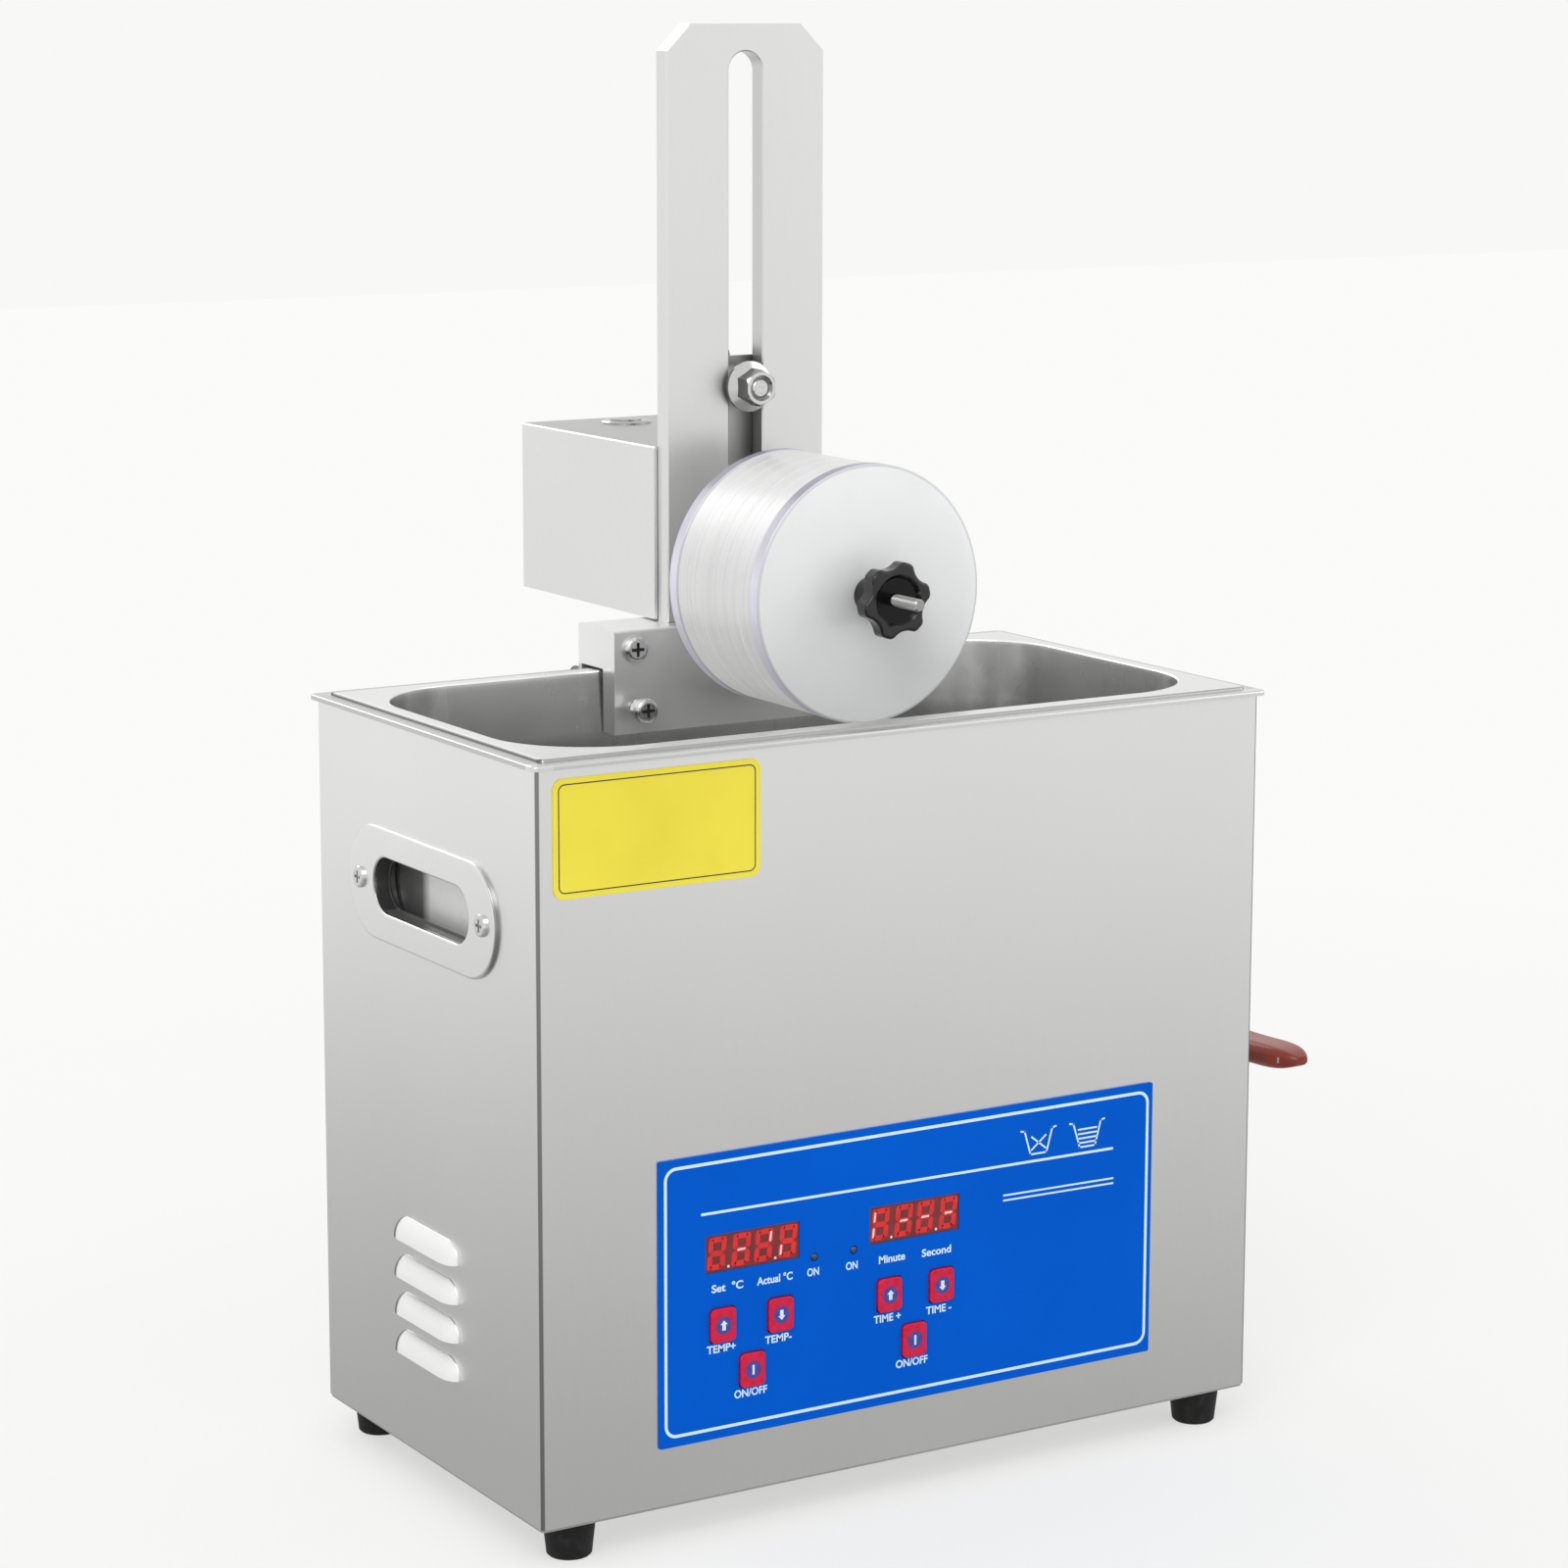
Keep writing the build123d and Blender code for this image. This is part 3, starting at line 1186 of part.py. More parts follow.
# ---------------------------------------------------------------- write one file for each piece
pieces = {
    "casing_shell": casing_shell,
    "base_plate": base_plate,
    "rubber_feet": rubber_feet,
    "tank": tank,
    "handle_pan_left": handle_pan_left,
    "handle_pan_right": handle_pan_right,
    "fixing_screws": fixing_screws,
    "control_overlay": control_overlay,
    "yellow_plate": yellow_plate,
    "display_modules": display_modules,
    "indicator_lamps": indicator_lamps,
    "control_board": control_board,
    "board_standoffs": board_standoffs,
    "generator_board": generator_board,
    "generator_heatsink": generator_heatsink,
    "transducer_masses": transducer_masses,
    "transducer_ceramics": transducer_ceramics,
    "heater_pads": heater_pads,
    "drain_pipe": drain_pipe,
    "drain_valve_body": drain_valve_body,
    "drain_stem": drain_stem,
    "drain_lever": drain_lever,
    "drain_grip": drain_grip,
    "mains_inlet": mains_inlet,
    "mains_rocker": mains_rocker,
    "saddle_bracket": saddle_bracket,
    "foot_block": foot_block,
    "saddle_pads": saddle_pads,
    "clamp_screws": clamp_screws,
    "rear_clamp_left": rear_clamp_left,
    "rear_clamp_right": rear_clamp_right,
    "mast": mast,
    "carriage_plate": carriage_plate,
    "motor_box": motor_box,
    "motor_box_cover": motor_box_cover,
    "gear_motor": gear_motor,
    "power_button_body": power_button_body,
    "power_button": power_button,
    "power_jack": power_jack,
    "clamp_bolt": clamp_bolt,
    "clamp_washer": clamp_washer,
    "clamp_nut": clamp_nut,
    "rear_star_knob": rear_star_knob,
    "spindle_hub": spindle_hub,
    "spindle_rod": spindle_rod,
    "rear_disc": rear_disc,
    "front_disc": front_disc,
    "star_knob": star_knob,
}

os.makedirs("parts", exist_ok=True)
made = {name: build() for name, build in pieces.items()}
made |= {name: panel_button(x, z) for name, (x, z) in buttons.items()}
made |= {f"record_spacer_{i + 1}": record_spacer(i) for i in range(spacer_count)}
for name, shape in made.items():
    if isinstance(shape, list):
        shape = Compound(children=[solid for piece in shape for solid in piece.solids()])
    export_step(shape, f"parts/{name}.step")
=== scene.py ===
# Casing of the record cleaning machine: one folded stainless sheet with a satin finish, open above for
# the tank and closed below by the base tray, with louvres pressed in both side walls.
from math import cos, pi, radians, sin, tau

import bmesh
import bpy
from mathutils import Matrix, Vector


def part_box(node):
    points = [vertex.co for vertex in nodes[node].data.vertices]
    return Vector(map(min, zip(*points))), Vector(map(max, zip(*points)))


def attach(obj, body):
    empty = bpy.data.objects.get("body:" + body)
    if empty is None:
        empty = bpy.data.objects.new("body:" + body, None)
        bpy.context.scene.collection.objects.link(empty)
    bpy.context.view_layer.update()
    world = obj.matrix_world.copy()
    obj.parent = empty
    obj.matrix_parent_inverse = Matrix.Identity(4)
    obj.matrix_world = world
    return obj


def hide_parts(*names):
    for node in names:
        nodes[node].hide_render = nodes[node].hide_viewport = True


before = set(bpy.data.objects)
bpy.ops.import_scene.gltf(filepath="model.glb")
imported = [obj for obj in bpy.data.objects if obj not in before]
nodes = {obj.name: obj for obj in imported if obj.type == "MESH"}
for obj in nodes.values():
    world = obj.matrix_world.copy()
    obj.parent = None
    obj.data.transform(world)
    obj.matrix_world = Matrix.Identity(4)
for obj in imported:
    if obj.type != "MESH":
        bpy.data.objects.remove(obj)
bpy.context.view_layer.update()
MM = 0.001


class Wire:
    """One output of a graph. Arithmetic on wires adds Math nodes."""

    def __init__(self, graph, socket):
        self.graph = graph
        self.socket = socket

    def maths(self, operation, *others):
        """A Math node on this value, first, and others."""
        return self.graph.node("Math", {"operation": operation}, dict(enumerate((self, *others))))

    def after(self, operation, other):
        """A Math node on another value, first, and this one."""
        return self.graph.node("Math", {"operation": operation}, {0: other, 1: self})

    def __add__(self, other):
        return self.maths("ADD", other)

    def __sub__(self, other):
        return self.maths("SUBTRACT", other)

    def __rsub__(self, other):
        return self.after("SUBTRACT", other)

    def __mul__(self, other):
        return self.maths("MULTIPLY", other)

    def __pow__(self, other):
        return self.maths("POWER", other)

    def __rpow__(self, other):
        return self.after("POWER", other)

    def __abs__(self):
        return self.maths("ABSOLUTE")

    __radd__ = __add__
    __rmul__ = __mul__

    def ramp(self, low, high, out_low=0.0, out_high=1.0):
        """This value from low to high becomes out_low to out_high, held at both ends."""
        values = {0: self, 1: low, 2: high, 3: out_low, 4: out_high}
        return self.graph.node("MapRange", {"clamp": True}, values)


class Graph:
    """The nodes of a material or of the world."""

    def __init__(self, tree):
        self.tree = tree

    def feed(self, node, values):
        """Constants and wires into a node's sockets, by name or number."""
        for key, value in values.items():
            socket = node.inputs[key]
            if isinstance(value, Wire):
                self.tree.links.new(value.socket, socket)
            elif socket.type == "RGBA" and len(value) == 3:
                socket.default_value = (*value, 1.0)
            else:
                socket.default_value = value

    def node(self, kind, settings=None, values=None, out=0):
        """A new node of a kind, its settings set first, then its sockets."""
        made = self.tree.nodes.new("ShaderNode" + kind)
        for key, value in (settings or {}).items():
            setattr(made, key, value)
        self.feed(made, values or {})
        return Wire(self, made.outputs[out])


class Finish(Graph):
    """A material. Constants go straight on its shader."""

    def __init__(self, name, **sockets):
        self.material = bpy.data.materials.new(name)
        self.material.use_nodes = True
        super().__init__(self.material.node_tree)
        self.shader = self.tree.nodes["Principled BSDF"]
        self.set(**sockets)

    def place(self):
        """The point being shaded, in metres in the machine's frame."""
        return self.node("TexCoord", out=3)

    def axis(self, letter):
        """The place along one axis."""
        return self.node("SeparateXYZ", None, {0: self.place()}, "XYZ".index(letter))

    def facing(self, letter):
        """The surface normal's share along one axis."""
        return self.node("SeparateXYZ", None, {0: self.node("NewGeometry", out=1)}, "XYZ".index(letter))

    def noise(self, scales, detail=3.0, rough=0.5):
        """Noise whose features are 1/scale metres long along each axis."""
        point = self.node("VectorMath", {"operation": "MULTIPLY"}, {0: self.place(), 1: scales})
        return self.node("TexNoise", None, {"Vector": point, "Scale": 1.0, "Detail": detail,
                                            "Roughness": rough})

    def tint(self, mask, low, high):
        """A colour between two others."""
        return self.node("Mix", {"data_type": "RGBA"}, {0: mask, 6: low, 7: high}, 2)

    def bump(self, height, distance, strength=1.0):
        """Unevenness of the surface, its full height in metres."""
        self.set(Normal=self.node("Bump", None, {"Height": height, "Distance": distance,
                                                 "Strength": strength}))

    def set(self, **sockets):
        """Values or wires for the shader's sockets."""
        self.feed(self.shader, {key.replace("_", " "): value for key, value in sockets.items()})

    def coat(self, *things):
        """Put this finish on CAD nodes, by name, or on objects."""
        for thing in things:
            target = nodes[thing] if isinstance(thing, str) else thing
            if not target.data.materials:
                target.data.materials.append(self.material)
            for index in range(len(target.data.materials)):
                target.data.materials[index] = self.material


def grey(value):
    """A neutral colour of that linear value."""
    return (value, value, value * 0.99)


DEEP_SHADE = grey(0.05)


def brushed(name, grain, dark, light, roughness, depth=0.0015, shadow=None):
    """Worked metal: fine lines along the axis with the small scale, slow clouds and faint scuffs. The
    lines' depth is in millimetres. shadow(metal) gives the share of deep shade at each place."""
    metal = Finish(name, Metallic=1.0)
    lines = metal.noise(grain, 4.0, 0.65)
    clouds = metal.noise((9.0, 9.0, 7.0), 2.0)
    shade = lines.ramp(0.3, 0.7) * 0.35 + clouds.ramp(0.3, 0.7) * 0.65
    colour = metal.tint(shade, dark, light)
    if shadow:
        colour = metal.tint(shadow(metal), colour, DEEP_SHADE)
    scuffs = metal.noise((60.0, 60.0, 60.0), 6.0, 0.7).ramp(0.62, 0.75)
    metal.colour = colour
    metal.rough = lines.ramp(0.25, 0.75, roughness - 0.03, roughness + 0.04) + scuffs * 0.03
    metal.set(Base_Color=metal.colour, Roughness=metal.rough)
    if depth:
        metal.bump(lines, depth * MM)
    return metal


CASING_X = 160.0 * MM  # half the folded sheet's width, and half its depth
CASING_Y = 90.0 * MM


def folds(metal):
    """The bend at each corner and the rear end of each louvre are in the shade."""
    along = abs(metal.axis("X"))
    across = abs(metal.axis("Y"))
    corner = along.ramp(CASING_X - 2 * MM, CASING_X - 1.4 * MM)
    corner = corner * across.ramp(CASING_Y - 2 * MM, CASING_Y - 1.4 * MM)
    bend = (abs(metal.facing("X")) * abs(metal.facing("Y"))).ramp(0.12, 0.35)
    louvre_end = along.ramp(CASING_X + 0.1 * MM, CASING_X + 0.3 * MM) * metal.facing("Y").ramp(0.05, 0.2)
    return corner * bend * 0.75 + louvre_end * 0.85


satin = brushed("satin_casing", (1500.0, 1500.0, 40.0), grey(0.80), grey(0.83), 0.30, 0.0008, folds)
# Painted highlight: the pressed louvres, all but their rear ends, are made paler, rougher and barely
# metallic.
hood_highlight = abs(satin.axis("X")).ramp(CASING_X + 0.2 * MM, CASING_X + 0.6 * MM)  # the pressed louvres
hood_highlight = hood_highlight * satin.facing("Y").ramp(0.2, 0.05)
satin.set(Base_Color=satin.tint(hood_highlight, satin.colour, grey(0.86)), Roughness=satin.rough + hood_highlight * 0.3,
          Metallic=hood_highlight.ramp(0.0, 1.0, 1.0, 0.1))
satin.coat("casing_shell")


# Base tray and feet: the tray is a plain stainless sheet with air slots and an upturned flange inside the
# casing, held by four black rubber feet, each with a screw up through it.
brushed("satin_tray", (40.0, 1500.0, 1500.0), grey(0.56), grey(0.62), 0.38).coat("base_plate")

rubber = Finish("foot_rubber", Specular_IOR_Level=0.35)
dust = rubber.noise((300.0, 300.0, 300.0), 5.0, 0.6)
rubber.set(Base_Color=rubber.tint(dust.ramp(0.45, 0.8), grey(0.006), grey(0.022)),
           Roughness=dust.ramp(0.3, 0.7, 0.45, 0.65))
rubber.bump(rubber.noise((2500.0, 2500.0, 2500.0), 2.0), 0.02 * MM, 0.5)
rubber.coat("rubber_feet", "saddle_pads")


# Tank: pressed from one stainless sheet. Its rim is a flat land with a turned-down lip, and its walls and
# floor keep a slightly cloudy polish.
tank_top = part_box("tank")[1].z
LAND_X = CASING_X - 3.2 * MM  # the land's outer edge
LAND_Y = CASING_Y - 3.2 * MM
# Painted shade lies on a strip along the land's back edge and in a band round the walls.
REAR_SHADE_STRIP = 4.5 * MM  # the land's dull edge along the back
BAND_TOP, BAND_FOOT = 24 * MM, 42 * MM  # a darker band round the walls, below the rim


def rim_and_walls(metal):
    """Painted shade on the lip, on the step up to the land and on a strip along the land's back edge.
    The walls are in painted shade too, more so at the left end, lower down and in one band."""
    along = abs(metal.axis("X"))
    across = abs(metal.axis("Y"))
    up = metal.axis("Z")
    lip = along.ramp(LAND_X, LAND_X + 0.2 * MM).maths("MAXIMUM", across.ramp(LAND_Y, LAND_Y + 0.2 * MM))
    lip = lip * metal.axis("Y").ramp(-LAND_Y - 0.2 * MM, -LAND_Y + 0.2 * MM, 0.10, 0.34)
    end_step = along.ramp(LAND_X - 1.8 * MM, LAND_X - 1.4 * MM, 0.0, 0.85)
    long_step = across.ramp(LAND_Y - 1.8 * MM, LAND_Y - 1.4 * MM, 0.0, 0.5)
    step = end_step.maths("MAXIMUM", long_step) * metal.facing("Z").ramp(0.985, 0.85)
    step = step * up.ramp(tank_top - 1.4 * MM, tank_top - 1.2 * MM)
    rear = metal.axis("Y").ramp(LAND_Y - REAR_SHADE_STRIP, LAND_Y - REAR_SHADE_STRIP + 1 * MM)
    rear = rear * up.ramp(tank_top - 1 * MM, tank_top)
    inside = up.ramp(tank_top - 0.8 * MM, tank_top - 4 * MM) * along.ramp(LAND_X - 2 * MM, LAND_X - 3 * MM)
    shade = metal.axis("X").ramp(20 * MM, -80 * MM, 0.05, 0.22)
    shade = shade + up.ramp(tank_top, tank_top - 30 * MM) * 0.06
    band = up.ramp(tank_top - BAND_TOP, tank_top - BAND_TOP - 5 * MM)
    band = band * up.ramp(tank_top - BAND_FOOT, tank_top - BAND_FOOT + 8 * MM)
    return lip + step + rear * 0.4 + inside * (shade + band * 0.3)


drawn = brushed("drawn_tank", (14.0, 14.0, 7.0), grey(0.79), grey(0.82), 0.26, 0.0, rim_and_walls)
# Painted highlight along the edge rolled over into the tank.
roll_highlight = drawn.axis("Z").ramp(tank_top - 2 * MM, tank_top - 1.2 * MM) * drawn.facing("Z").ramp(0.99, 0.9)
roll_highlight = roll_highlight * abs(drawn.axis("X")).ramp(LAND_X - 3 * MM, LAND_X - 4 * MM)
roll_highlight = roll_highlight * abs(drawn.axis("Y")).ramp(LAND_Y - 3 * MM, LAND_Y - 4 * MM)
drawn.set(Base_Color=drawn.tint(roll_highlight, drawn.colour, grey(0.98)))  # the edge rolled over into the tank
drawn.coat("tank")


# Control sheet: blue polycarbonate, printed white with a border, rules, generic labels and two tank signs,
# and glued to the front wall. The print stands a few hundredths of a millimetre off its face.
PRINT = 0.04 * MM
BLUE = (0.0002, 0.108, 0.63)
FADED_BLUE = (0.0002, 0.097, 0.58)
WHITE = (0.72, 0.90, 1.0)
THIN_WHITE = (0.50, 0.74, 0.95)

blue = Finish("blue_sheet", Specular_IOR_Level=0.03)
mottle = blue.noise((14.0, 14.0, 14.0), 3.0)
blue.set(Base_Color=blue.tint(mottle.ramp(0.3, 0.7), FADED_BLUE, BLUE),
         Roughness=mottle.ramp(0.3, 0.7, 0.32, 0.42))
blue.bump(blue.noise((1800.0, 1800.0, 1800.0), 2.0), 0.008 * MM, 0.5)
blue.coat("control_overlay")

ink = Finish("white_ink", Roughness=0.5)
grit = ink.noise((2500.0, 2500.0, 2500.0), 3.0)
ink.set(Base_Color=ink.tint(grit.ramp(0.25, 0.6), THIN_WHITE, WHITE))


def front_plane(y):
    """Placement of outlines of (x, z) points on a face at y that looks to the front."""
    return Matrix.Translation((0, y, 0)) @ Matrix.Rotation(pi / 2, 4, "X")


overlay_low, overlay_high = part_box("control_overlay")
overlay_face = front_plane(overlay_low.y)


def printed(name, finish, outlines, plane, body="cleaner", thick=PRINT):
    """Closed outlines in millimetres as a raised print, that thick in metres, on a plane."""
    curve = bpy.data.curves.new(name, "CURVE")
    curve.dimensions = "2D"
    curve.fill_mode = "BOTH"
    curve.extrude = thick / 2
    for outline in outlines:
        spline = curve.splines.new("POLY")
        spline.points.add(len(outline) - 1)
        for point, (x, z) in zip(spline.points, outline):
            point.co = (x * MM, z * MM, 0, 1)
        spline.use_cyclic_u = True
    flat = bpy.data.objects.new(name, curve)
    bpy.context.collection.objects.link(flat)
    flat.matrix_world = plane @ Matrix.Translation((0, 0, thick / 2))
    bpy.context.view_layer.update()
    solid = bpy.data.objects.new(name, bpy.data.meshes.new_from_object(flat))
    solid.matrix_world = flat.matrix_world
    bpy.context.collection.objects.link(solid)
    bpy.data.objects.remove(flat)
    finish.coat(solid)
    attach(solid, body)
    return solid


def rounded(x0, z0, x1, z1, r, steps=6):
    """Outline of a rectangle with round corners."""
    corners = ((x1 - r, z1 - r, 0), (x0 + r, z1 - r, 1), (x0 + r, z0 + r, 2), (x1 - r, z0 + r, 3))
    points = []
    for cx, cz, quarter in corners:
        for i in range(steps + 1):
            angle = (quarter + i / steps) * pi / 2
            points.append((cx + r * cos(angle), cz + r * sin(angle)))
    return points


def ribbon(start, end, width):
    """Outline of a straight stroke."""
    along = Vector((end[0] - start[0], end[1] - start[1])).normalized() * (width / 2)
    side = Vector((-along.y, along.x))
    a = Vector(start) - along
    b = Vector(end) + along
    return [tuple(a + side), tuple(a - side), tuple(b - side), tuple(b + side)]


def frame_line(x0, z0, x1, z1, r, width):
    """Two outlines that leave a rounded frame between them."""
    return [rounded(x0, z0, x1, z1, r), rounded(x0 + width, z0 + width, x1 - width, z1 - width, r - width)]


sheet_left, sheet_right = overlay_low.x / MM, overlay_high.x / MM
sheet_foot, sheet_top = overlay_low.z / MM, overlay_high.z / MM
border = frame_line(sheet_left + 2.2, sheet_foot + 3.4, sheet_right - 1.8, sheet_top - 2.8, 5.0, 1.2)
printed("overlay_border", ink, border, overlay_face)
RULES = {
    "overlay_rule_long": ((-92.9, 124.2), (92.0, 122.7), 1.0),
    "overlay_rule_upper": ((41.2, 111.3), (92.6, 110.6), 0.7),
    "overlay_rule_lower": ((41.2, 109.3), (92.6, 108.6), 0.7),
}
for name, (start, end, width) in RULES.items():
    printed(name, ink, [ribbon(start, end, width)], overlay_face)

SIGN_LIP, SIGN_DROP, SIGN_LINE = 1.6, 0.3, 0.7


def tank_sign(name, top_left, top_right, foot_left, foot_right, top, foot, marks):
    """An open tank drawn in line, with marks inside it."""
    corners = [(top_left, top), (top_left + SIGN_LIP, top - SIGN_DROP), (foot_left, foot),
               (foot_right, foot), (top_right - SIGN_LIP, top - SIGN_DROP), (top_right, top)]
    strokes = list(zip(corners, corners[1:]))
    for i, (start, end) in enumerate(strokes + marks):
        printed(f"{name}_{i + 1}", ink, [ribbon(start, end, SIGN_LINE)], overlay_face)


crossed = [((54.0, 132.6), (60.4, 127.6)), ((54.0, 127.6), (60.4, 132.6))]
waves = [((76.0, z), (84.4, z)) for z in (132.4, 130.6, 128.8, 127.0)]
tank_sign("tank_sign_empty", 49.0, 65.1, 53.4, 60.9, 135.5, 125.8, crossed)
tank_sign("tank_sign_filled", 71.9, 88.1, 76.6, 83.9, 135.3, 125.3, waves)

CAP_HEIGHT = 2.9
CAP_SHARE = 0.70  # of the letters' size
BOLDER = 0.10  # added round every letter
LABELS = {  # words, middle, width
    "set_celsius": ("Set  °C", -82.2, 94.9, 13.5),
    "actual_celsius": ("Actual °C", -61.6, 94.7, 15.5),
    "on_heat": ("ON", -44.9, 94.6, 5.2),
    "on_time": ("ON", -27.8, 94.3, 5.2),
    "minute": ("Minute", -9.9, 94.4, 11.8),
    "second": ("Second", 10.4, 94.0, 13.3),
    "temp_up": ("TEMP+", -84.8, 71.7, 12.4),
    "temp_down": ("TEMP-", -60.1, 71.4, 11.6),
    "heat_switch": ("ON/OFF", -72.2, 52.6, 14.2),
    "time_up": ("TIME +", -11.7, 71.2, 12.2),
    "time_down": ("TIME -", 11.6, 70.9, 11.5),
    "start_switch": ("ON/OFF", -0.6, 51.9, 14.4),
}


def label(name, text, x, z, width):
    """A word on the control sheet, squeezed or spread to a given width."""
    letters = bpy.data.curves.new(name, "FONT")
    letters.body = text
    letters.align_x = "CENTER"
    letters.align_y = "CENTER"
    letters.size = CAP_HEIGHT / CAP_SHARE * MM
    letters.offset = BOLDER * MM
    letters.extrude = PRINT / 2
    flat = bpy.data.objects.new(name, letters)
    bpy.context.collection.objects.link(flat)
    bpy.context.view_layer.update()
    squeeze = width * MM / max(flat.dimensions.x, MM)
    solid = bpy.data.objects.new(name, bpy.data.meshes.new_from_object(flat))
    bpy.data.objects.remove(flat)
    bpy.context.collection.objects.link(solid)
    solid.matrix_world = (overlay_face @ Matrix.Translation((x * MM, z * MM, PRINT / 2))
                          @ Matrix.Diagonal((squeeze, 1, 1, 1)))
    ink.coat(solid)
    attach(solid, "cleaner")


for name, (text, x, z, width) in LABELS.items():
    label("label_" + name, text, x, z, width)


# Displays and lamps: four two-digit modules in two windows, with slanted seven-part figures behind a dark
# red face, and two small dark lamps. A few parts of the figures stay pale, as when the display is off.
DIGIT_W, DIGIT_H, BAR = 7.6, 12.4, 2.1
SLANT = 0.10
GAP = 0.16  # half the gap between two bars
WINDOW_AT = (-71.2, 0.4)
DIGIT_AT = (-15.35, -4.85, 4.85, 15.35)  # from a window's middle
DOT_DX, DOT_DZ, DOT_R = 5.0, -5.7, 0.55

window = Finish("display_face", Coat_Weight=0.5, Coat_Roughness=0.12)
smoke = window.noise((120.0, 120.0, 120.0), 3.0)
window.set(Base_Color=window.tint(smoke.ramp(0.3, 0.7), (0.150, 0.006, 0.009), (0.210, 0.011, 0.014)),
           Roughness=smoke.ramp(0.3, 0.7, 0.25, 0.4))
window.bump(smoke, 0.01 * MM, 0.3)
window.coat("display_modules")

lit = Finish("figure_red", Roughness=0.35, Coat_Weight=0.4)
lit_cloud = lit.noise((160.0, 160.0, 160.0), 2.0)
lit.set(Base_Color=lit.tint(lit_cloud.ramp(0.3, 0.7), (0.62, 0.003, 0.005), (0.80, 0.010, 0.008)))
pale = Finish("figure_pale", Roughness=0.4)
pale.set(Base_Color=pale.tint(pale.noise((700.0, 700.0, 700.0)).ramp(0.3, 0.7), (0.78, 0.45, 0.42),
                              (0.95, 0.80, 0.78)))

lamp = Finish("lamp_dark", Coat_Weight=1.0, Coat_Roughness=0.05)
lamp_cloud = lamp.noise((900.0, 900.0, 900.0), 2.0)
lamp.set(Base_Color=lamp.tint(lamp_cloud.ramp(0.3, 0.7), (0.004, 0.012, 0.06), (0.03, 0.03, 0.09)),
         Roughness=lamp_cloud.ramp(0.3, 0.7, 0.2, 0.35))
lamp.coat("indicator_lamps")

display_low, display_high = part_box("display_modules")
display_face = front_plane(display_low.y)
pale_face = front_plane(display_low.y - PRINT)
display_mid = (display_low.z + display_high.z) / 2 / MM


def bars(cx, cz):
    """The seven bars of one slanted figure, as outlines: top, middle, foot, then the four uprights."""
    w, h, t = DIGIT_W / 2, DIGIT_H / 2, BAR
    tip, shoulder = w - t / 2 - GAP, w - t - GAP
    outlines = []
    for z in (h - t / 2, 0, t / 2 - h):
        outlines.append([(-tip, z), (-shoulder, z - t / 2), (shoulder, z - t / 2),
                         (tip, z), (shoulder, z + t / 2), (-shoulder, z + t / 2)])
    for side in (-1, 1):
        for up in (-1, 1):
            x = side * (w - t / 2)
            z0, z1 = up * GAP, up * (h - GAP)
            outlines.append([(x - t / 2, z0 + up * t * 0.5), (x, z0), (x + t / 2, z0 + up * t * 0.5),
                             (x + t / 2, z1 - up * t * 0.4), (x + t / 4, z1), (x - t / 4, z1),
                             (x - t / 2, z1 - up * t * 0.4)])
    return [[(cx + x + z * SLANT, cz + z) for x, z in outline] for outline in outlines]


def dash(cx, cz):
    """A pale stroke over a middle bar."""
    return [(cx + x, cz + z) for x, z in ((-1.7, -0.4), (1.7, -0.4), (1.9, 0.4), (-1.5, 0.4))]


def upright(cx, cz, side, up):
    """A pale stroke over one upright bar."""
    x = side * (DIGIT_W / 2 - BAR / 2)
    return [(cx + x + dx + z * SLANT, cz + z)
            for dx, z in ((-0.4, up * 1.2), (0.4, up * 1.2), (0.4, up * 4.9), (-0.4, up * 4.9))]


def dot(cx, cz, r, steps=16):
    """Outline of a disc."""
    return [(cx + r * cos(i * tau / steps), cz + r * sin(i * tau / steps)) for i in range(steps)]


for side, centre in zip(("heat", "time"), WINDOW_AT):
    places = [centre + dx for dx in DIGIT_AT]
    printed(f"figures_{side}", lit, [bar for x in places for bar in bars(x, display_mid)], display_face)
    dots = [dot(x + DOT_DX, display_mid + DOT_DZ, DOT_R) for x in (places[0], places[2])]
    if side == "heat":
        strokes = [dash(places[1], display_mid), upright(places[2], display_mid, 1, 1),
                   upright(places[3], display_mid, -1, -1)]
    else:
        strokes = [upright(places[0], display_mid, -1, 1), upright(places[0], display_mid, -1, -1)]
        strokes += [dash(x, display_mid) for x in places[1:]]
    printed(f"figures_pale_{side}", pale, dots + strokes, pale_face)


# Push buttons: six red moulded caps with soft edges in rectangular holes. Each carries a printed violet
# disc, with an arrow for more or less and a bar for on and off.
cap_red = Finish("button_red", Coat_Weight=0.2, Coat_Roughness=0.15, Specular_IOR_Level=0.25)
cap_cloud = cap_red.noise((400.0, 400.0, 400.0), 3.0)
cap_red.set(Base_Color=cap_red.tint(cap_cloud.ramp(0.3, 0.7), (0.56, 0.004, 0.040), (0.68, 0.008, 0.062)),
            Roughness=cap_cloud.ramp(0.3, 0.7, 0.24, 0.36))
cap_red.bump(cap_cloud, 0.02 * MM, 0.3)
ring_ink = Finish("button_violet", Roughness=0.4)
ring_ink.set(Base_Color=ring_ink.tint(ring_ink.noise((500.0, 500.0, 500.0)).ramp(0.3, 0.7),
                                      (0.045, 0.040, 0.26), (0.075, 0.060, 0.36)))

ARROW = ((0, 2.0), (1.55, 0.35), (0.75, 0.35), (0.75, -1.9), (-0.75, -1.9), (-0.75, 0.35), (-1.55, 0.35))
STROKE = ((0.45, 1.9), (0.45, -1.9), (-0.45, -1.9), (-0.45, 1.9))
DISC_R = 3.4
MARKS = {"temperature_up_button": (ARROW, 1), "temperature_down_button": (ARROW, -1),
         "time_up_button": (ARROW, 1), "time_down_button": (ARROW, -1),
         "heat_switch_button": (STROKE, 1), "start_button": (STROKE, 1)}

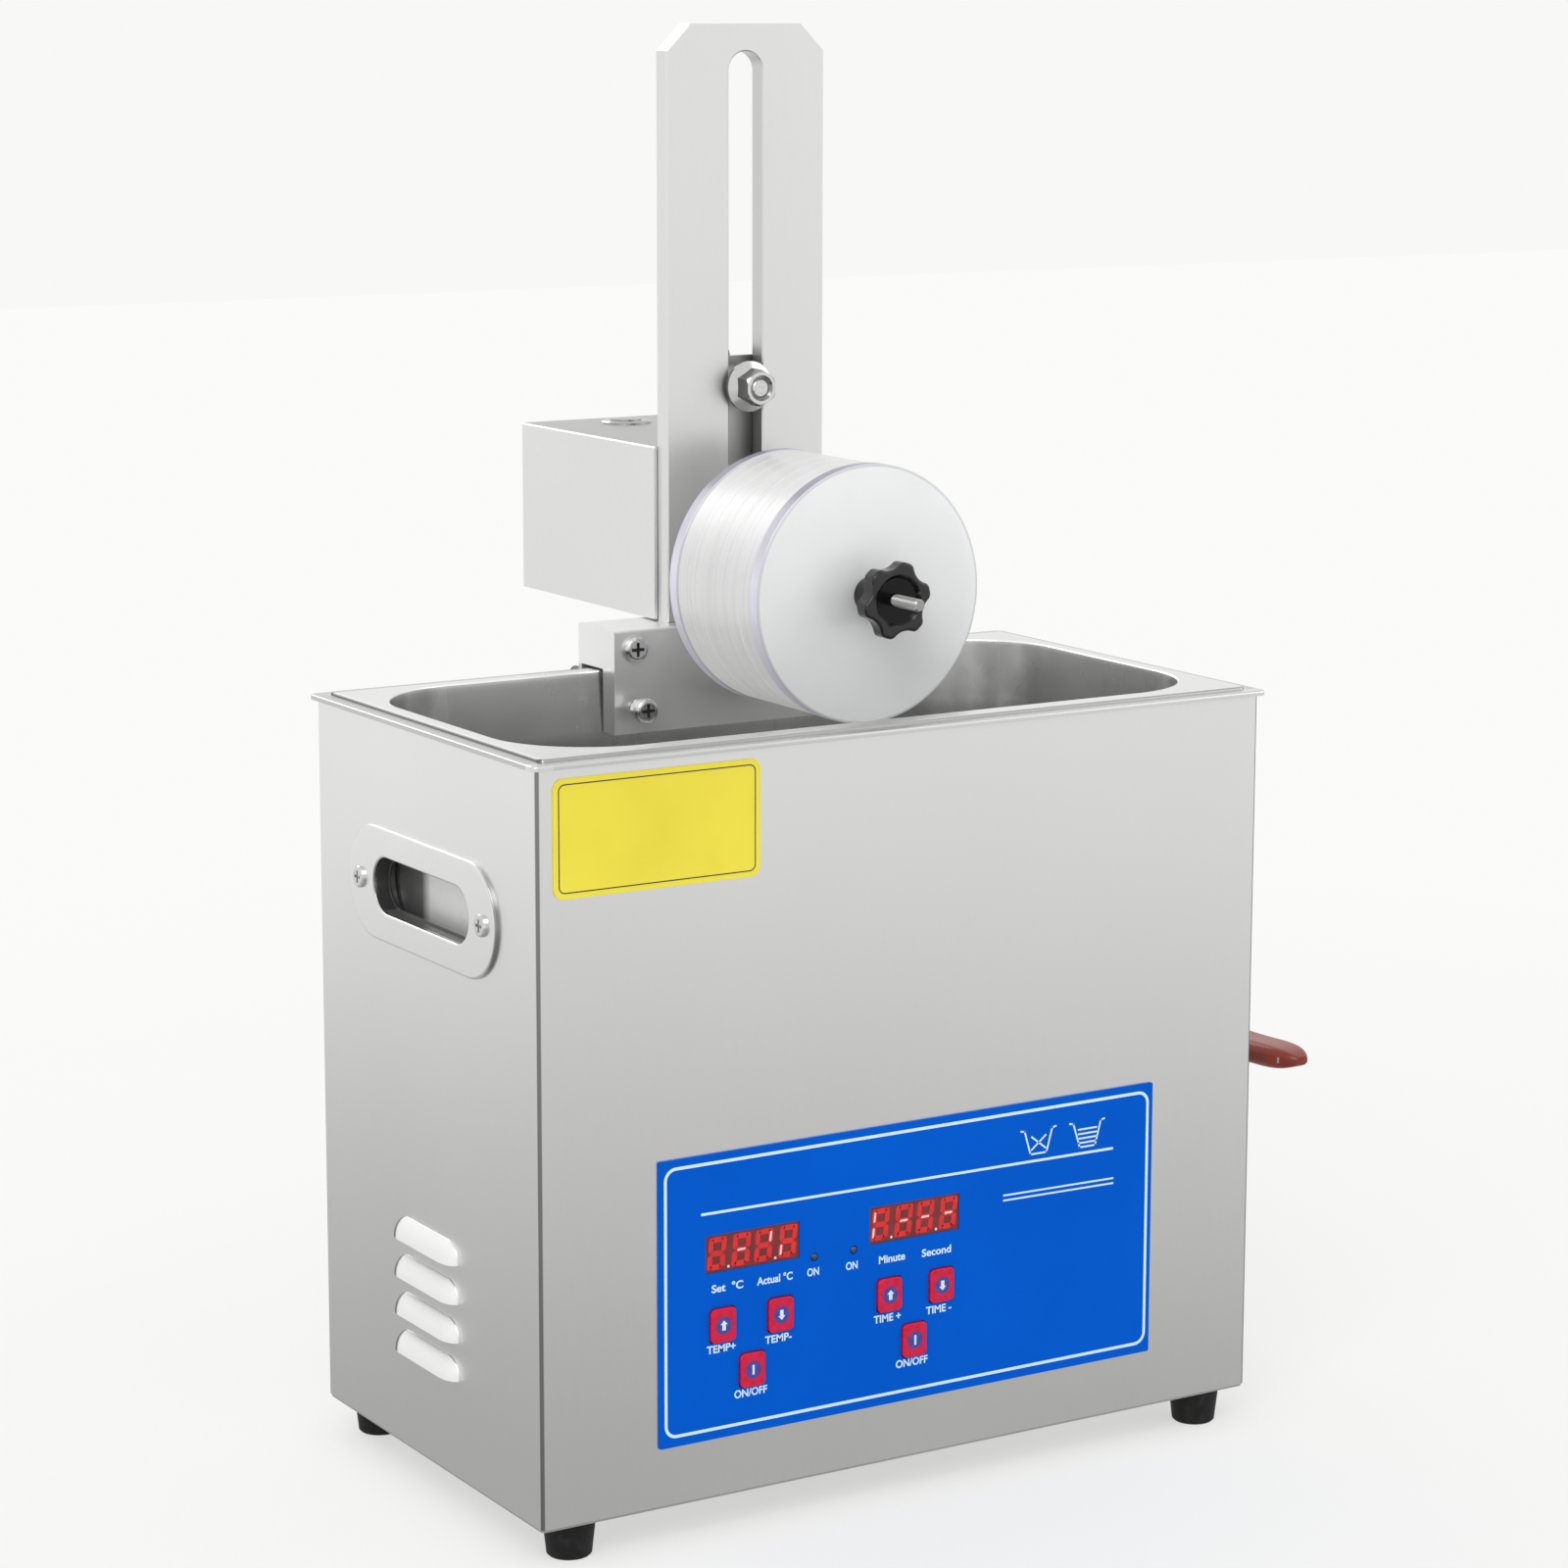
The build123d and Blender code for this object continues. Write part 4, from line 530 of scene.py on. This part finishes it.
for name, (outline, up) in MARKS.items():
    cap_red.coat(name)
    cap_low, cap_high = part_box(name)
    x = (cap_low.x + cap_high.x) / 2 / MM
    z = (cap_low.z + cap_high.z) / 2 / MM
    printed(f"{name}_disc", ring_ink, [dot(x, z, DISC_R, 32)], front_plane(cap_low.y), name)
    printed(f"{name}_sign", ink, [[(x + dx, z + dz * up) for dx, dz in outline]],
            front_plane(cap_low.y - PRINT), name)


# Yellow plate: a thin aluminium sheet, lacquered yellow and glued to the front wall under the rim. It bears
# only a fine dark frame line.
yellow = Finish("yellow_lacquer", Coat_Weight=0.25, Coat_Roughness=0.3)
fade = yellow.noise((22.0, 22.0, 22.0), 3.0)
yellow.set(Base_Color=yellow.tint(fade.ramp(0.3, 0.7), (0.80, 0.68, 0.028), (0.88, 0.76, 0.040)),
           Roughness=fade.ramp(0.3, 0.7, 0.35, 0.48))
yellow.bump(yellow.noise((1500.0, 1500.0, 1500.0), 2.0), 0.006 * MM, 0.5)
yellow.coat("yellow_plate")

dark_ink = Finish("dark_ink", Roughness=0.5)
dark_ink.set(Base_Color=dark_ink.tint(dark_ink.noise((900.0, 900.0, 900.0)).ramp(0.3, 0.7),
                                      grey(0.03), grey(0.07)))
PLATE_EDGE = 2.0  # from the plate's edge to the frame line
plate_low, plate_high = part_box("yellow_plate")
plate_line = frame_line(plate_low.x / MM + PLATE_EDGE, plate_low.z / MM + PLATE_EDGE,
                        plate_high.x / MM - PLATE_EDGE, plate_high.z / MM - PLATE_EDGE, 2.6, 0.45)
printed("plate_frame", dark_ink, plate_line, front_plane(plate_low.y))


# Inside the casing: control board on brass posts, driver board with its finned sink, three transducers
# glued under the tank, and silicone heating strips on its walls.
board = Finish("board_green", Coat_Weight=0.5, Coat_Roughness=0.15)
tracks = board.noise((180.0, 180.0, 180.0), 1.0).ramp(0.46, 0.5)
board.set(Base_Color=board.tint(tracks, (0.008, 0.085, 0.035), (0.016, 0.150, 0.060)), Roughness=0.4)
board.bump(tracks, 0.03 * MM, 0.5)
board.coat("control_board", "generator_board")

brushed("turned_brass", (40.0, 40.0, 900.0), (0.55, 0.36, 0.12), (0.68, 0.47, 0.18), 0.25).coat(
    "board_standoffs")
brushed("extruded_sink", (60.0, 900.0, 60.0), grey(0.45), grey(0.55), 0.4).coat("generator_heatsink")
brushed("turned_masses", (60.0, 60.0, 1200.0), grey(0.55), grey(0.64), 0.3).coat("transducer_masses")

ceramic = Finish("fired_ceramic", Roughness=0.55)
ceramic.set(Base_Color=ceramic.tint(ceramic.noise((300.0, 300.0, 300.0)).ramp(0.3, 0.7),
                                    (0.50, 0.44, 0.33), (0.62, 0.56, 0.44)))
ceramic.coat("transducer_ceramics")
silicone = Finish("silicone_strip", Roughness=0.6)
weave = silicone.noise((700.0, 40.0, 700.0), 2.0)
silicone.set(Base_Color=silicone.tint(weave.ramp(0.3, 0.7), (0.24, 0.05, 0.018), (0.34, 0.08, 0.03)))
silicone.bump(weave, 0.05 * MM, 0.4)
silicone.coat("heater_pads")


# Drain: nickel-plated ball valve on a pipe through the right wall. Its flat lever is shut when it points
# to the front, and wears a dipped vinyl sleeve, dark red and slightly glossy.
brushed("drain_pipe_steel", (60.0, 60.0, 60.0), grey(0.55), grey(0.62), 0.3).coat("drain_pipe")
plated = Finish("plated_valve", Metallic=1.0)
cast = plated.noise((450.0, 450.0, 450.0), 5.0, 0.6)
plated.set(Base_Color=plated.tint(cast.ramp(0.3, 0.7), (0.46, 0.44, 0.39), (0.62, 0.60, 0.55)),
           Roughness=cast.ramp(0.3, 0.7, 0.2, 0.34))
plated.bump(cast, 0.04 * MM, 0.4)
plated.coat("drain_valve_body", "drain_stem")
brushed("lever_steel", (500.0, 30.0, 500.0), grey(0.56), grey(0.64), 0.26).coat("drain_lever")

vinyl = Finish("dipped_vinyl", Coat_Weight=0.25, Coat_Roughness=0.12, Specular_IOR_Level=0.4)
dip = vinyl.noise((70.0, 40.0, 70.0), 4.0)
vinyl.set(Base_Color=vinyl.tint(dip.ramp(0.3, 0.7), (0.20, 0.020, 0.008), (0.30, 0.036, 0.012)),
          Roughness=dip.ramp(0.3, 0.7, 0.28, 0.42))
vinyl.bump(dip, 0.2 * MM, 0.4)
vinyl.coat("drain_grip")


# Mains inlet: black moulded plastic in the back wall, with a three-pin socket below and a rocker above.
# The rocker carries a printed white bar above its pin and a ring below it, both bent to its round face.
moulded = Finish("moulded_black", Specular_IOR_Level=0.5)
spark = moulded.noise((1600.0, 1600.0, 1600.0), 2.0)
moulded.set(Base_Color=moulded.tint(spark.ramp(0.3, 0.7), grey(0.010), grey(0.022)),
            Roughness=spark.ramp(0.3, 0.7, 0.36, 0.5))
moulded.bump(spark, 0.03 * MM, 0.5)
moulded.coat("mains_inlet", "mains_rocker", "power_jack", "rear_clamp_left", "rear_clamp_right")

rocker_low, rocker_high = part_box("mains_rocker")
ROCKER_PIN = (rocker_low + rocker_high) / 2
ROCKER_R = (rocker_high - rocker_low).z / 2
BAR_ANGLE, BAR_HALF, BAR_W = 27, 1.3, 0.6
RING_ANGLE, RING_R, RING_LINE, RING_STEPS = -23, 1.4, 0.45, 24


def wrapped(sign):
    """Bends a print around the rocker's round face."""
    for vertex in sign.data.vertices:
        vertex.co.z -= vertex.co.y ** 2 / (2 * ROCKER_R)


def rocker_face(angle):
    """Plane that touches the rocker at an angle above its pin."""
    out = Matrix.Rotation(radians(angle), 4, "X")
    return (Matrix.Translation(ROCKER_PIN) @ out @ Matrix.Translation((0, ROCKER_R, 0))
            @ Matrix.Rotation(pi, 4, "Z") @ Matrix.Rotation(pi / 2, 4, "X"))


climb = [BAR_HALF * step / 2 for step in range(-2, 3)]
bar = [(-BAR_W / 2, z) for z in climb] + [(BAR_W / 2, -z) for z in climb]
wrapped(printed("rocker_bar", ink, [bar], rocker_face(BAR_ANGLE), "mains_rocker"))
circles = [dot(0, 0, r, RING_STEPS) for r in (RING_R, RING_R - RING_LINE)]
wrapped(printed("rocker_ring", ink, circles, rocker_face(RING_ANGLE), "mains_rocker"))


# Saddle: a folded stainless bracket over the rear rim, an aluminium bar inside it for the mast's screws,
# two clamp screws with lock nuts, and two fluted knobs that bear on the casing's back.
def cheek_in_tank(metal):
    """The cheeks are in the shade below the rim."""
    return abs(metal.facing("X")).ramp(0.5, 0.9) * metal.axis("Z").ramp(tank_top + 1 * MM, tank_top) * 0.35


folded = brushed("folded_saddle", (900.0, 900.0, 40.0), grey(0.84), grey(0.88), 0.34, 0.0005,
                 cheek_in_tank)
folded.set(Metallic=0.8)
folded.coat("saddle_bracket")
brushed("milled_block", (60.0, 900.0, 900.0), grey(0.66), grey(0.72), 0.3).coat(
    "foot_block", "spindle_hub")


# Screws: nickel-plated pan heads, each with a cross recess. They hold the feet, finger pulls, saddle and
# mast, and two of them clamp the saddle to the tank's wall.
nickel = Finish("plated_screws", Metallic=1.0)
pits = nickel.noise((900.0, 900.0, 900.0), 4.0, 0.6)
nickel.set(Base_Color=nickel.tint(pits.ramp(0.35, 0.65), grey(0.60), grey(0.76)),
           Roughness=pits.ramp(0.3, 0.7, 0.14, 0.26))
nickel.bump(pits, 0.01 * MM, 0.4)
nickel.coat("fixing_screws", "clamp_screws", "clamp_bolt")


def recess_shade_sheet(name, roughness, dark, light):
    """A dark sheet of painted shade at the bottom of a screw's recess."""
    paint = Finish(name, Roughness=roughness)
    cloud = paint.noise((2000.0, 2000.0, 2000.0)).ramp(0.3, 0.7)
    paint.set(Base_Color=paint.tint(cloud, grey(dark), grey(light)))
    return paint


deep = recess_shade_sheet("recess_shade", 0.6, 0.012, 0.03)
shallow = recess_shade_sheet("pale_recess_shade", 0.5, 0.22, 0.30)
RECESS_FLOOR = 0.4  # of the head's height
RECESS_WING = 0.53  # of the head's diameter, as is the slit
RECESS_SLIT = 0.12
RECESS_THICK = 0.3


def cross(x, z, head_d):
    """Outline of a cross recess, pinched at its middle."""
    wing = head_d * RECESS_WING / 2
    slit = head_d * RECESS_SLIT / 2
    corners = ((slit, slit), (slit, wing), (-slit, wing), (-slit, slit), (-wing, slit), (-wing, -slit),
               (-slit, -slit), (-slit, -wing), (slit, -wing), (slit, -slit), (wing, -slit), (wing, slit))
    return [(x + dx, z + dz) for dx, dz in corners]


def shade_recess(name, finish, plane, x, z, head, seat):
    """A cross of painted shade on the floor of one screw's recess. The head is across and high; its seat lies
    that far along the plane.
    """
    floor = plane @ Matrix.Translation((0, 0, (seat + head[1] * RECESS_FLOOR) * MM))
    printed(name, finish, [cross(x, z, head[0])], floor, thick=RECESS_THICK * MM)


LIFT_X = 25.0  # the lift's middle
CHEEK_DX = 57.0
SADDLE_HEAD, SADDLE_SCREW_Z, SADDLE_SEAT = (10.4, 2.8), 308.6, -66.0
CLAMP_HEAD, CLAMP_SCREW_Z, CLAMP_SEAT = (10.4, 3.2), 285.0, -58.2
front = front_plane(0)
for side, name in ((-1, "left"), (1, "right")):
    x = LIFT_X + side * CHEEK_DX
    shade_recess(f"saddle_screw_recess_{name}", deep, front, x, SADDLE_SCREW_Z, SADDLE_HEAD, SADDLE_SEAT)
    shade_recess(f"clamp_screw_recess_{name}", deep, front, x, CLAMP_SCREW_Z, CLAMP_HEAD, CLAMP_SEAT)


# Finger pulls: polished racetrack flanges, each with a collar round its hole and a closed pan behind it,
# held to the side walls by two screws. Painted shade lies on edges that look to the front and on the rear
# end of the pan's floor, and the pan's floor is matt.
pull_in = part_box("handle_pan_right")[0].x
PAN_FLOOR = 2.0 * MM


def pan_floor(metal):
    """The pan's closed floor."""
    return abs(metal.axis("X")).ramp(pull_in + PAN_FLOOR, pull_in + PAN_FLOOR / 2)


def pull_shade(metal):
    """Painted shade on the parts of a pull that look to the front, and on the rear end of its pan's floor."""
    rear_end = metal.axis("Y").ramp(15 * MM, 22 * MM)
    return metal.facing("Y").ramp(-0.3, -0.75) * 0.65 + pan_floor(metal) * rear_end * 0.9


polished = brushed("polished_pull", (30.0, 500.0, 500.0), grey(0.80), grey(0.84), 0.26, 0.0, pull_shade)
polished.set(Metallic=pan_floor(polished).ramp(0.0, 1.0, 1.0, 0.15),
             Roughness=polished.noise((40.0, 40.0, 40.0)).ramp(0.3, 0.7, 0.24, 0.28))
polished.coat("handle_pan_left", "handle_pan_right")


def stadium(z, length, height, steps=16):
    """Outline of a slot with round ends, its middle at that height."""
    r = height / 2
    half = length / 2 - r
    return [(half * (1 if i <= steps else -1) + r * sin((i - (i > steps)) * pi / steps),
             z + r * cos((i - (i > steps)) * pi / steps)) for i in range(2 * steps + 2)]


PULL_HEAD, PULL_SCREW_DY, PULL_SEAT = (8.6, 1.4), 50.4, 161.6
PULL_Z, PULL_LEN, PULL_H = 233.0, 80.4, 23.2  # outside of the collar round the hole
COLLAR_SEAT, COLLAR_WALL, COLLAR_DEEP = 154.3, 0.8, 5.7
BEAD_WIDE, BEAD_DEEP = 1.5, 0.7  # the collar's inner end is turned in
for side, name in ((-1, "left"), (1, "right")):
    wall = Matrix.Rotation(side * pi / 2, 4, "Z") @ front
    for end, y in (("front", -PULL_SCREW_DY), ("back", PULL_SCREW_DY)):
        shade_recess(f"pull_screw_recess_{name}_{end}", shallow, wall, side * y, PULL_Z, PULL_HEAD, PULL_SEAT)
    collar = wall @ Matrix.Translation((0, 0, COLLAR_SEAT * MM))
    outside = stadium(PULL_Z, PULL_LEN, PULL_H)
    for part, wide, inward in (("collar", COLLAR_WALL, COLLAR_DEEP), ("bead", BEAD_WIDE, BEAD_DEEP)):
        hole = stadium(PULL_Z, PULL_LEN - 2 * wide, PULL_H - 2 * wide)
        printed(f"pull_{part}_{name}", polished, [outside, hole], collar, thick=inward * MM)


# Mast: an 8 mm aluminium plate with clipped top corners and a long slot, brushed along its length and
# clear anodised, its edges lightly broken.
def slot_walls(metal):
    """Painted shade on the milled walls of the slot."""
    beside = abs(metal.axis("X") - LIFT_X * MM).ramp(12 * MM, 10 * MM)
    return beside * abs(metal.facing("X")).ramp(0.5, 0.9) * 0.2


brushed("brushed_mast", (1400.0, 1400.0, 35.0), grey(0.75), grey(0.79), 0.34, 0.001, slot_walls).coat("mast")


# Carriage: the motor box is folded from thin sheet in two parts, with the lug's plate in front. A domed
# push button sits in its top, and a small black jack in its back.
def box_top(metal):
    """Painted shade on the box's top, which faces up."""
    return metal.facing("Z").ramp(0.6, 0.95) * 0.45


def behind_slot(metal):
    """The plate is in the shade behind the mast's slot, more so to the right."""
    return metal.axis("X").ramp((LIFT_X - 4) * MM, (LIFT_X + 7) * MM, 0.0, 0.85)


brushed("box_sheet", (300.0, 300.0, 300.0), grey(0.75), grey(0.81), 0.36, 0.002, box_top).coat(
    "motor_box", "motor_box_cover")
brushed("plate_sheet", (900.0, 900.0, 60.0), grey(0.42), grey(0.50), 0.34, shadow=behind_slot).coat(
    "carriage_plate")
brushed("motor_can", (500.0, 30.0, 500.0), grey(0.36), grey(0.44), 0.35).coat("gear_motor")
brushed("button_chrome", (500.0, 500.0, 500.0), grey(0.42), grey(0.50), 0.24).coat(
    "power_button_body", "power_button")


# Carriage clamp: a shouldered stud through the mast's slot with a flanged lock nut in front, and moulded
# glossy black star knobs behind the lug and on the spindle, each with a bowl round its screw.
BOWL_R = 9.3 * MM
BOWL_LIP = 0.9 * MM


def nut_flanks(metal):
    """Painted shade on the nut's flanks and flange; its bevelled front stays bright."""
    return abs(metal.facing("Y")).ramp(0.97, 0.55) * 0.85


brushed("nut_steel", (700.0, 700.0, 700.0), grey(0.62), grey(0.78), 0.2, 0.001, nut_flanks).coat(
    "clamp_nut", "clamp_washer")

rod_low, rod_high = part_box("spindle_rod")
spindle_axis = (rod_low + rod_high) / 2


def off_axis(finish):
    """The square of the distance from the spindle's axis."""
    return (finish.axis("X") - spindle_axis.x) ** 2 + (finish.axis("Z") - spindle_axis.z) ** 2


phenolic = Finish("glossy_knob", Coat_Roughness=0.08, Specular_IOR_Level=0.22)
flow = phenolic.noise((90.0, 90.0, 90.0), 4.0)
# Painted shade: the bowl round the screw is darker than the lobes and has no coat.
outside_bowl = off_axis(phenolic).ramp(BOWL_R ** 2, (BOWL_R + BOWL_LIP) ** 2)
phenolic.set(Base_Color=phenolic.tint(flow.ramp(0.3, 0.7) * 0.3 + outside_bowl * 0.7,
                                      grey(0.002), grey(0.015)),
             Coat_Weight=outside_bowl * 0.55, Roughness=flow.ramp(0.3, 0.7, 0.14, 0.26))
phenolic.bump(flow, 0.06 * MM, 0.3)
phenolic.coat("star_knob", "rear_star_knob")


# Threaded rod: 5 mm bright steel with a rolled 0.8 mm thread along its whole length and a broken end.
# It carries the discs and takes the front star knob.
THREAD_PITCH = 0.8
THREAD_DEPTH = 0.45
GROOVE_SHARP = 2.6  # how much narrower the groove is than the pitch
BROKEN_END = 0.6
AROUND = 24
PER_TURN = 8
rod_r = (rod_high - rod_low).x / 2 / MM
rod_len = (rod_high - rod_low).y / MM


def threaded_rod():
    """Loops of points along the rod, each radius set by the thread's phase and the broken ends."""
    mesh = bmesh.new()
    stations = int(rod_len / THREAD_PITCH * PER_TURN)
    loops = []
    for i in range(stations + 1):
        along = rod_len * i / stations
        end = max(0, BROKEN_END - min(along, rod_len - along))
        loop = []
        for k in range(AROUND):
            phase = (along / THREAD_PITCH + k / AROUND) % 1
            groove = THREAD_DEPTH * max(0, 1 - abs(phase - 0.5) * GROOVE_SHARP)
            r = (rod_r - max(groove, end)) * MM
            angle = tau * k / AROUND
            loop.append(mesh.verts.new((spindle_axis.x + r * cos(angle), rod_low.y + along * MM,
                                        spindle_axis.z + r * sin(angle))))
        loops.append(loop)
    for a, b in zip(loops, loops[1:]):
        for k in range(AROUND):
            mesh.faces.new((a[k], a[k - 1], b[k - 1], b[k]))
    mesh.faces.new(loops[0])
    mesh.faces.new(reversed(loops[-1]))
    bmesh.ops.recalc_face_normals(mesh, faces=mesh.faces)
    data = bpy.data.meshes.new("threaded_rod")
    mesh.to_mesh(data)
    mesh.free()
    made = bpy.data.objects.new("threaded_rod", data)
    bpy.context.collection.objects.link(made)
    return made


rod = threaded_rod()
brushed("rod_steel", (700.0, 700.0, 700.0), grey(0.30), grey(0.40), 0.22).coat(rod)
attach(rod, "spindle")
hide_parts("spindle_rod")


# Clamp discs and spacers: two clear acrylic discs with cut, faintly violet edges hold six milky white
# spacers between them. Turning marks run round every rim. The undersides and the discs' lower edges carry a
# painted glow.
LIT_CUT_VIOLET = (0.80, 0.78, 0.90)
SHADED_CUT = (0.42, 0.40, 0.50)
EDGE_LINE = (0.50, 0.50, 0.54)
disc_low, disc_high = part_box("front_disc")
disc_r = (disc_high - disc_low).x / 2

clear = Finish("clear_disc", Coat_Weight=0.25, Coat_Roughness=0.12, Specular_IOR_Level=0.5, IOR=1.49)
rim = abs(clear.facing("Y")).ramp(0.75, 0.35)
lit_low_rim = rim * clear.facing("Z").ramp(0.75, 0.15)
wisps = clear.noise((40.0, 40.0, 40.0), 3.0)
edge_line = off_axis(clear).ramp((disc_r - 1.3 * MM) ** 2, (disc_r - 0.9 * MM) ** 2)
face_tint = clear.tint(wisps.ramp(0.3, 0.7), (0.93, 0.935, 0.94), (0.97, 0.975, 0.98))
face_tint = clear.tint(edge_line * 0.5, face_tint, EDGE_LINE)
# The cut edges are painted darker above and lighter below, with a faint painted glow below.
clear.set(Base_Color=clear.tint(rim, face_tint, clear.tint(lit_low_rim, SHADED_CUT, LIT_CUT_VIOLET)),
          Emission_Color=clear.tint(lit_low_rim, grey(0.0), (0.76, 0.74, 0.88)), Emission_Strength=0.3,
          Roughness=rim.ramp(0.0, 1.0, 0.2, 0.3), Alpha=rim.ramp(0.0, 1.0, 0.93, 0.75))
clear.bump(clear.noise((60.0, 2600.0, 60.0), 3.0), 0.01 * MM, 0.4)
clear.coat("rear_disc", "front_disc")

milky = Finish("milky_spacer", Coat_Weight=0.3, Coat_Roughness=0.2, Specular_IOR_Level=0.5)
turns = milky.noise((30.0, 2400.0, 30.0), 3.0)
haze = milky.noise((25.0, 25.0, 25.0), 2.0)
bands = milky.noise((5.0, 750.0, 5.0), 2.0)
# Painted glow on the spacers' undersides.
milky.set(Base_Color=milky.tint(bands.ramp(0.38, 0.5) * 0.6 + turns.ramp(0.35, 0.65) * 0.2
                                + haze.ramp(0.3, 0.7) * 0.2, (0.70, 0.70, 0.70), (0.80, 0.80, 0.80)),
          Emission_Color=milky.tint(milky.facing("Z").ramp(0.2, -0.7), grey(0.0), grey(0.9)),
          Emission_Strength=0.33, Roughness=turns.ramp(0.3, 0.7, 0.28, 0.42))
milky.bump(turns, 0.03 * MM, 0.6)
milky.coat(*[f"record_spacer_{i}" for i in range(1, 7)])


# Studio: a plain pale floor, a wide soft light from the upper left front, a weaker one from the right, and
# a pale surround. The camera stands to the left of the front and a little above the tank.
FLOOR_REACH = 6.0
PALE = grey(0.94)

floor_mesh = bpy.data.meshes.new("floor")
floor_corners = [(x * FLOOR_REACH, y * FLOOR_REACH, 0) for x, y in ((-1, -1), (1, -1), (1, 1), (-1, 1))]
floor_mesh.from_pydata(floor_corners, [], [(0, 1, 2, 3)])
floor = bpy.data.objects.new("floor", floor_mesh)
bpy.context.collection.objects.link(floor)
paper = Finish("paper_floor", Specular_IOR_Level=0.2, Roughness=0.8)
paper.set(Base_Color=paper.tint(paper.noise((3.0, 3.0, 3.0)).ramp(0.3, 0.7), grey(0.86), grey(0.88)))
away = paper.node("VectorMath", {"operation": "LENGTH"}, {0: paper.place()}, 1)
camera_ray = paper.node("LightPath")
mirror_ray = paper.node("LightPath", out=3).maths("MAXIMUM", paper.node("LightPath", out=6))


def glow(value):
    """An even grey light in the floor's material."""
    return paper.node("Emission", None, {0: grey(value)})


def blend(graph, share, first, second):
    """A mix of two shaders."""
    return graph.node("MixShader", None, {0: share, 1: first, 2: second})


lit_paper = Wire(paper, paper.shader.outputs[0])
seen = blend(paper, camera_ray * away.ramp(0.3, 1.1, 0.6, 1.0), lit_paper, glow(0.96))
# In reflections the floor is painted darker near the machine, as its shadow, and brighter far to the left, as
# painted light.
far_ground = blend(paper, paper.axis("X").ramp(-0.1, -0.7), glow(0.90), glow(1.0))
mirrored = blend(paper, away.ramp(0.2, 1.5), glow(0.46), far_ground)
paper.feed(paper.tree.nodes["Material Output"], {0: blend(paper, mirror_ray, seen, mirrored)})
paper.coat(floor)


def soft_light(name, place, size, power):
    """A square soft box at a place, turned to the middle of the machine."""
    data = bpy.data.lights.new(name, "AREA")
    data.size = size
    data.energy = power
    box = bpy.data.objects.new(name, data)
    bpy.context.collection.objects.link(box)
    box.location = place
    box.rotation_euler = (Vector((0, 0, 0.25)) - Vector(place)).to_track_quat("-Z", "Y").to_euler()


soft_light("key_light", (-1.6, -1.6, 2.2), 1.6, 24)
soft_light("fill_light", (2.2, -1.2, 1.4), 1.6, 8)
soft_light("back_light", (-0.3, 2.2, 1.7), 1.4, 12)

world = bpy.data.worlds.new("surround")
world.use_nodes = True
bpy.context.scene.world = world
surround = Graph(world.node_tree)
in_view = surround.node("LightPath").maths("MAXIMUM", surround.node("LightPath", out=3))
lit_air = surround.node("Background", None, {0: (1, 1, 1), 1: 0.78})
pale_air = surround.node("Background", None, {0: PALE})
surround.feed(world.node_tree.nodes["World Output"], {0: blend(surround, in_view, lit_air, pale_air)})

YAW, DOWN, ROLL = radians(31.459), radians(9.782), radians(0.099)
CAMERA_AT = (-0.8382, -1.3658, 0.5626)
forward = Vector((sin(YAW) * cos(DOWN), cos(YAW) * cos(DOWN), -sin(DOWN)))
level = Vector((cos(YAW), -sin(YAW), 0))
sideways = level * cos(ROLL) + level.cross(forward) * sin(ROLL)
upward = sideways.cross(forward)
lens = bpy.data.cameras.new("camera")
lens.sensor_width = 36
lens.lens = 95.70
lens.shift_y = -0.04
camera = bpy.data.objects.new("camera", lens)
bpy.context.collection.objects.link(camera)
turned = Matrix((sideways, upward, -forward)).transposed().to_4x4()
camera.matrix_world = Matrix.Translation(CAMERA_AT) @ turned
bpy.context.scene.camera = camera
bpy.context.scene.view_settings.view_transform = "Standard"
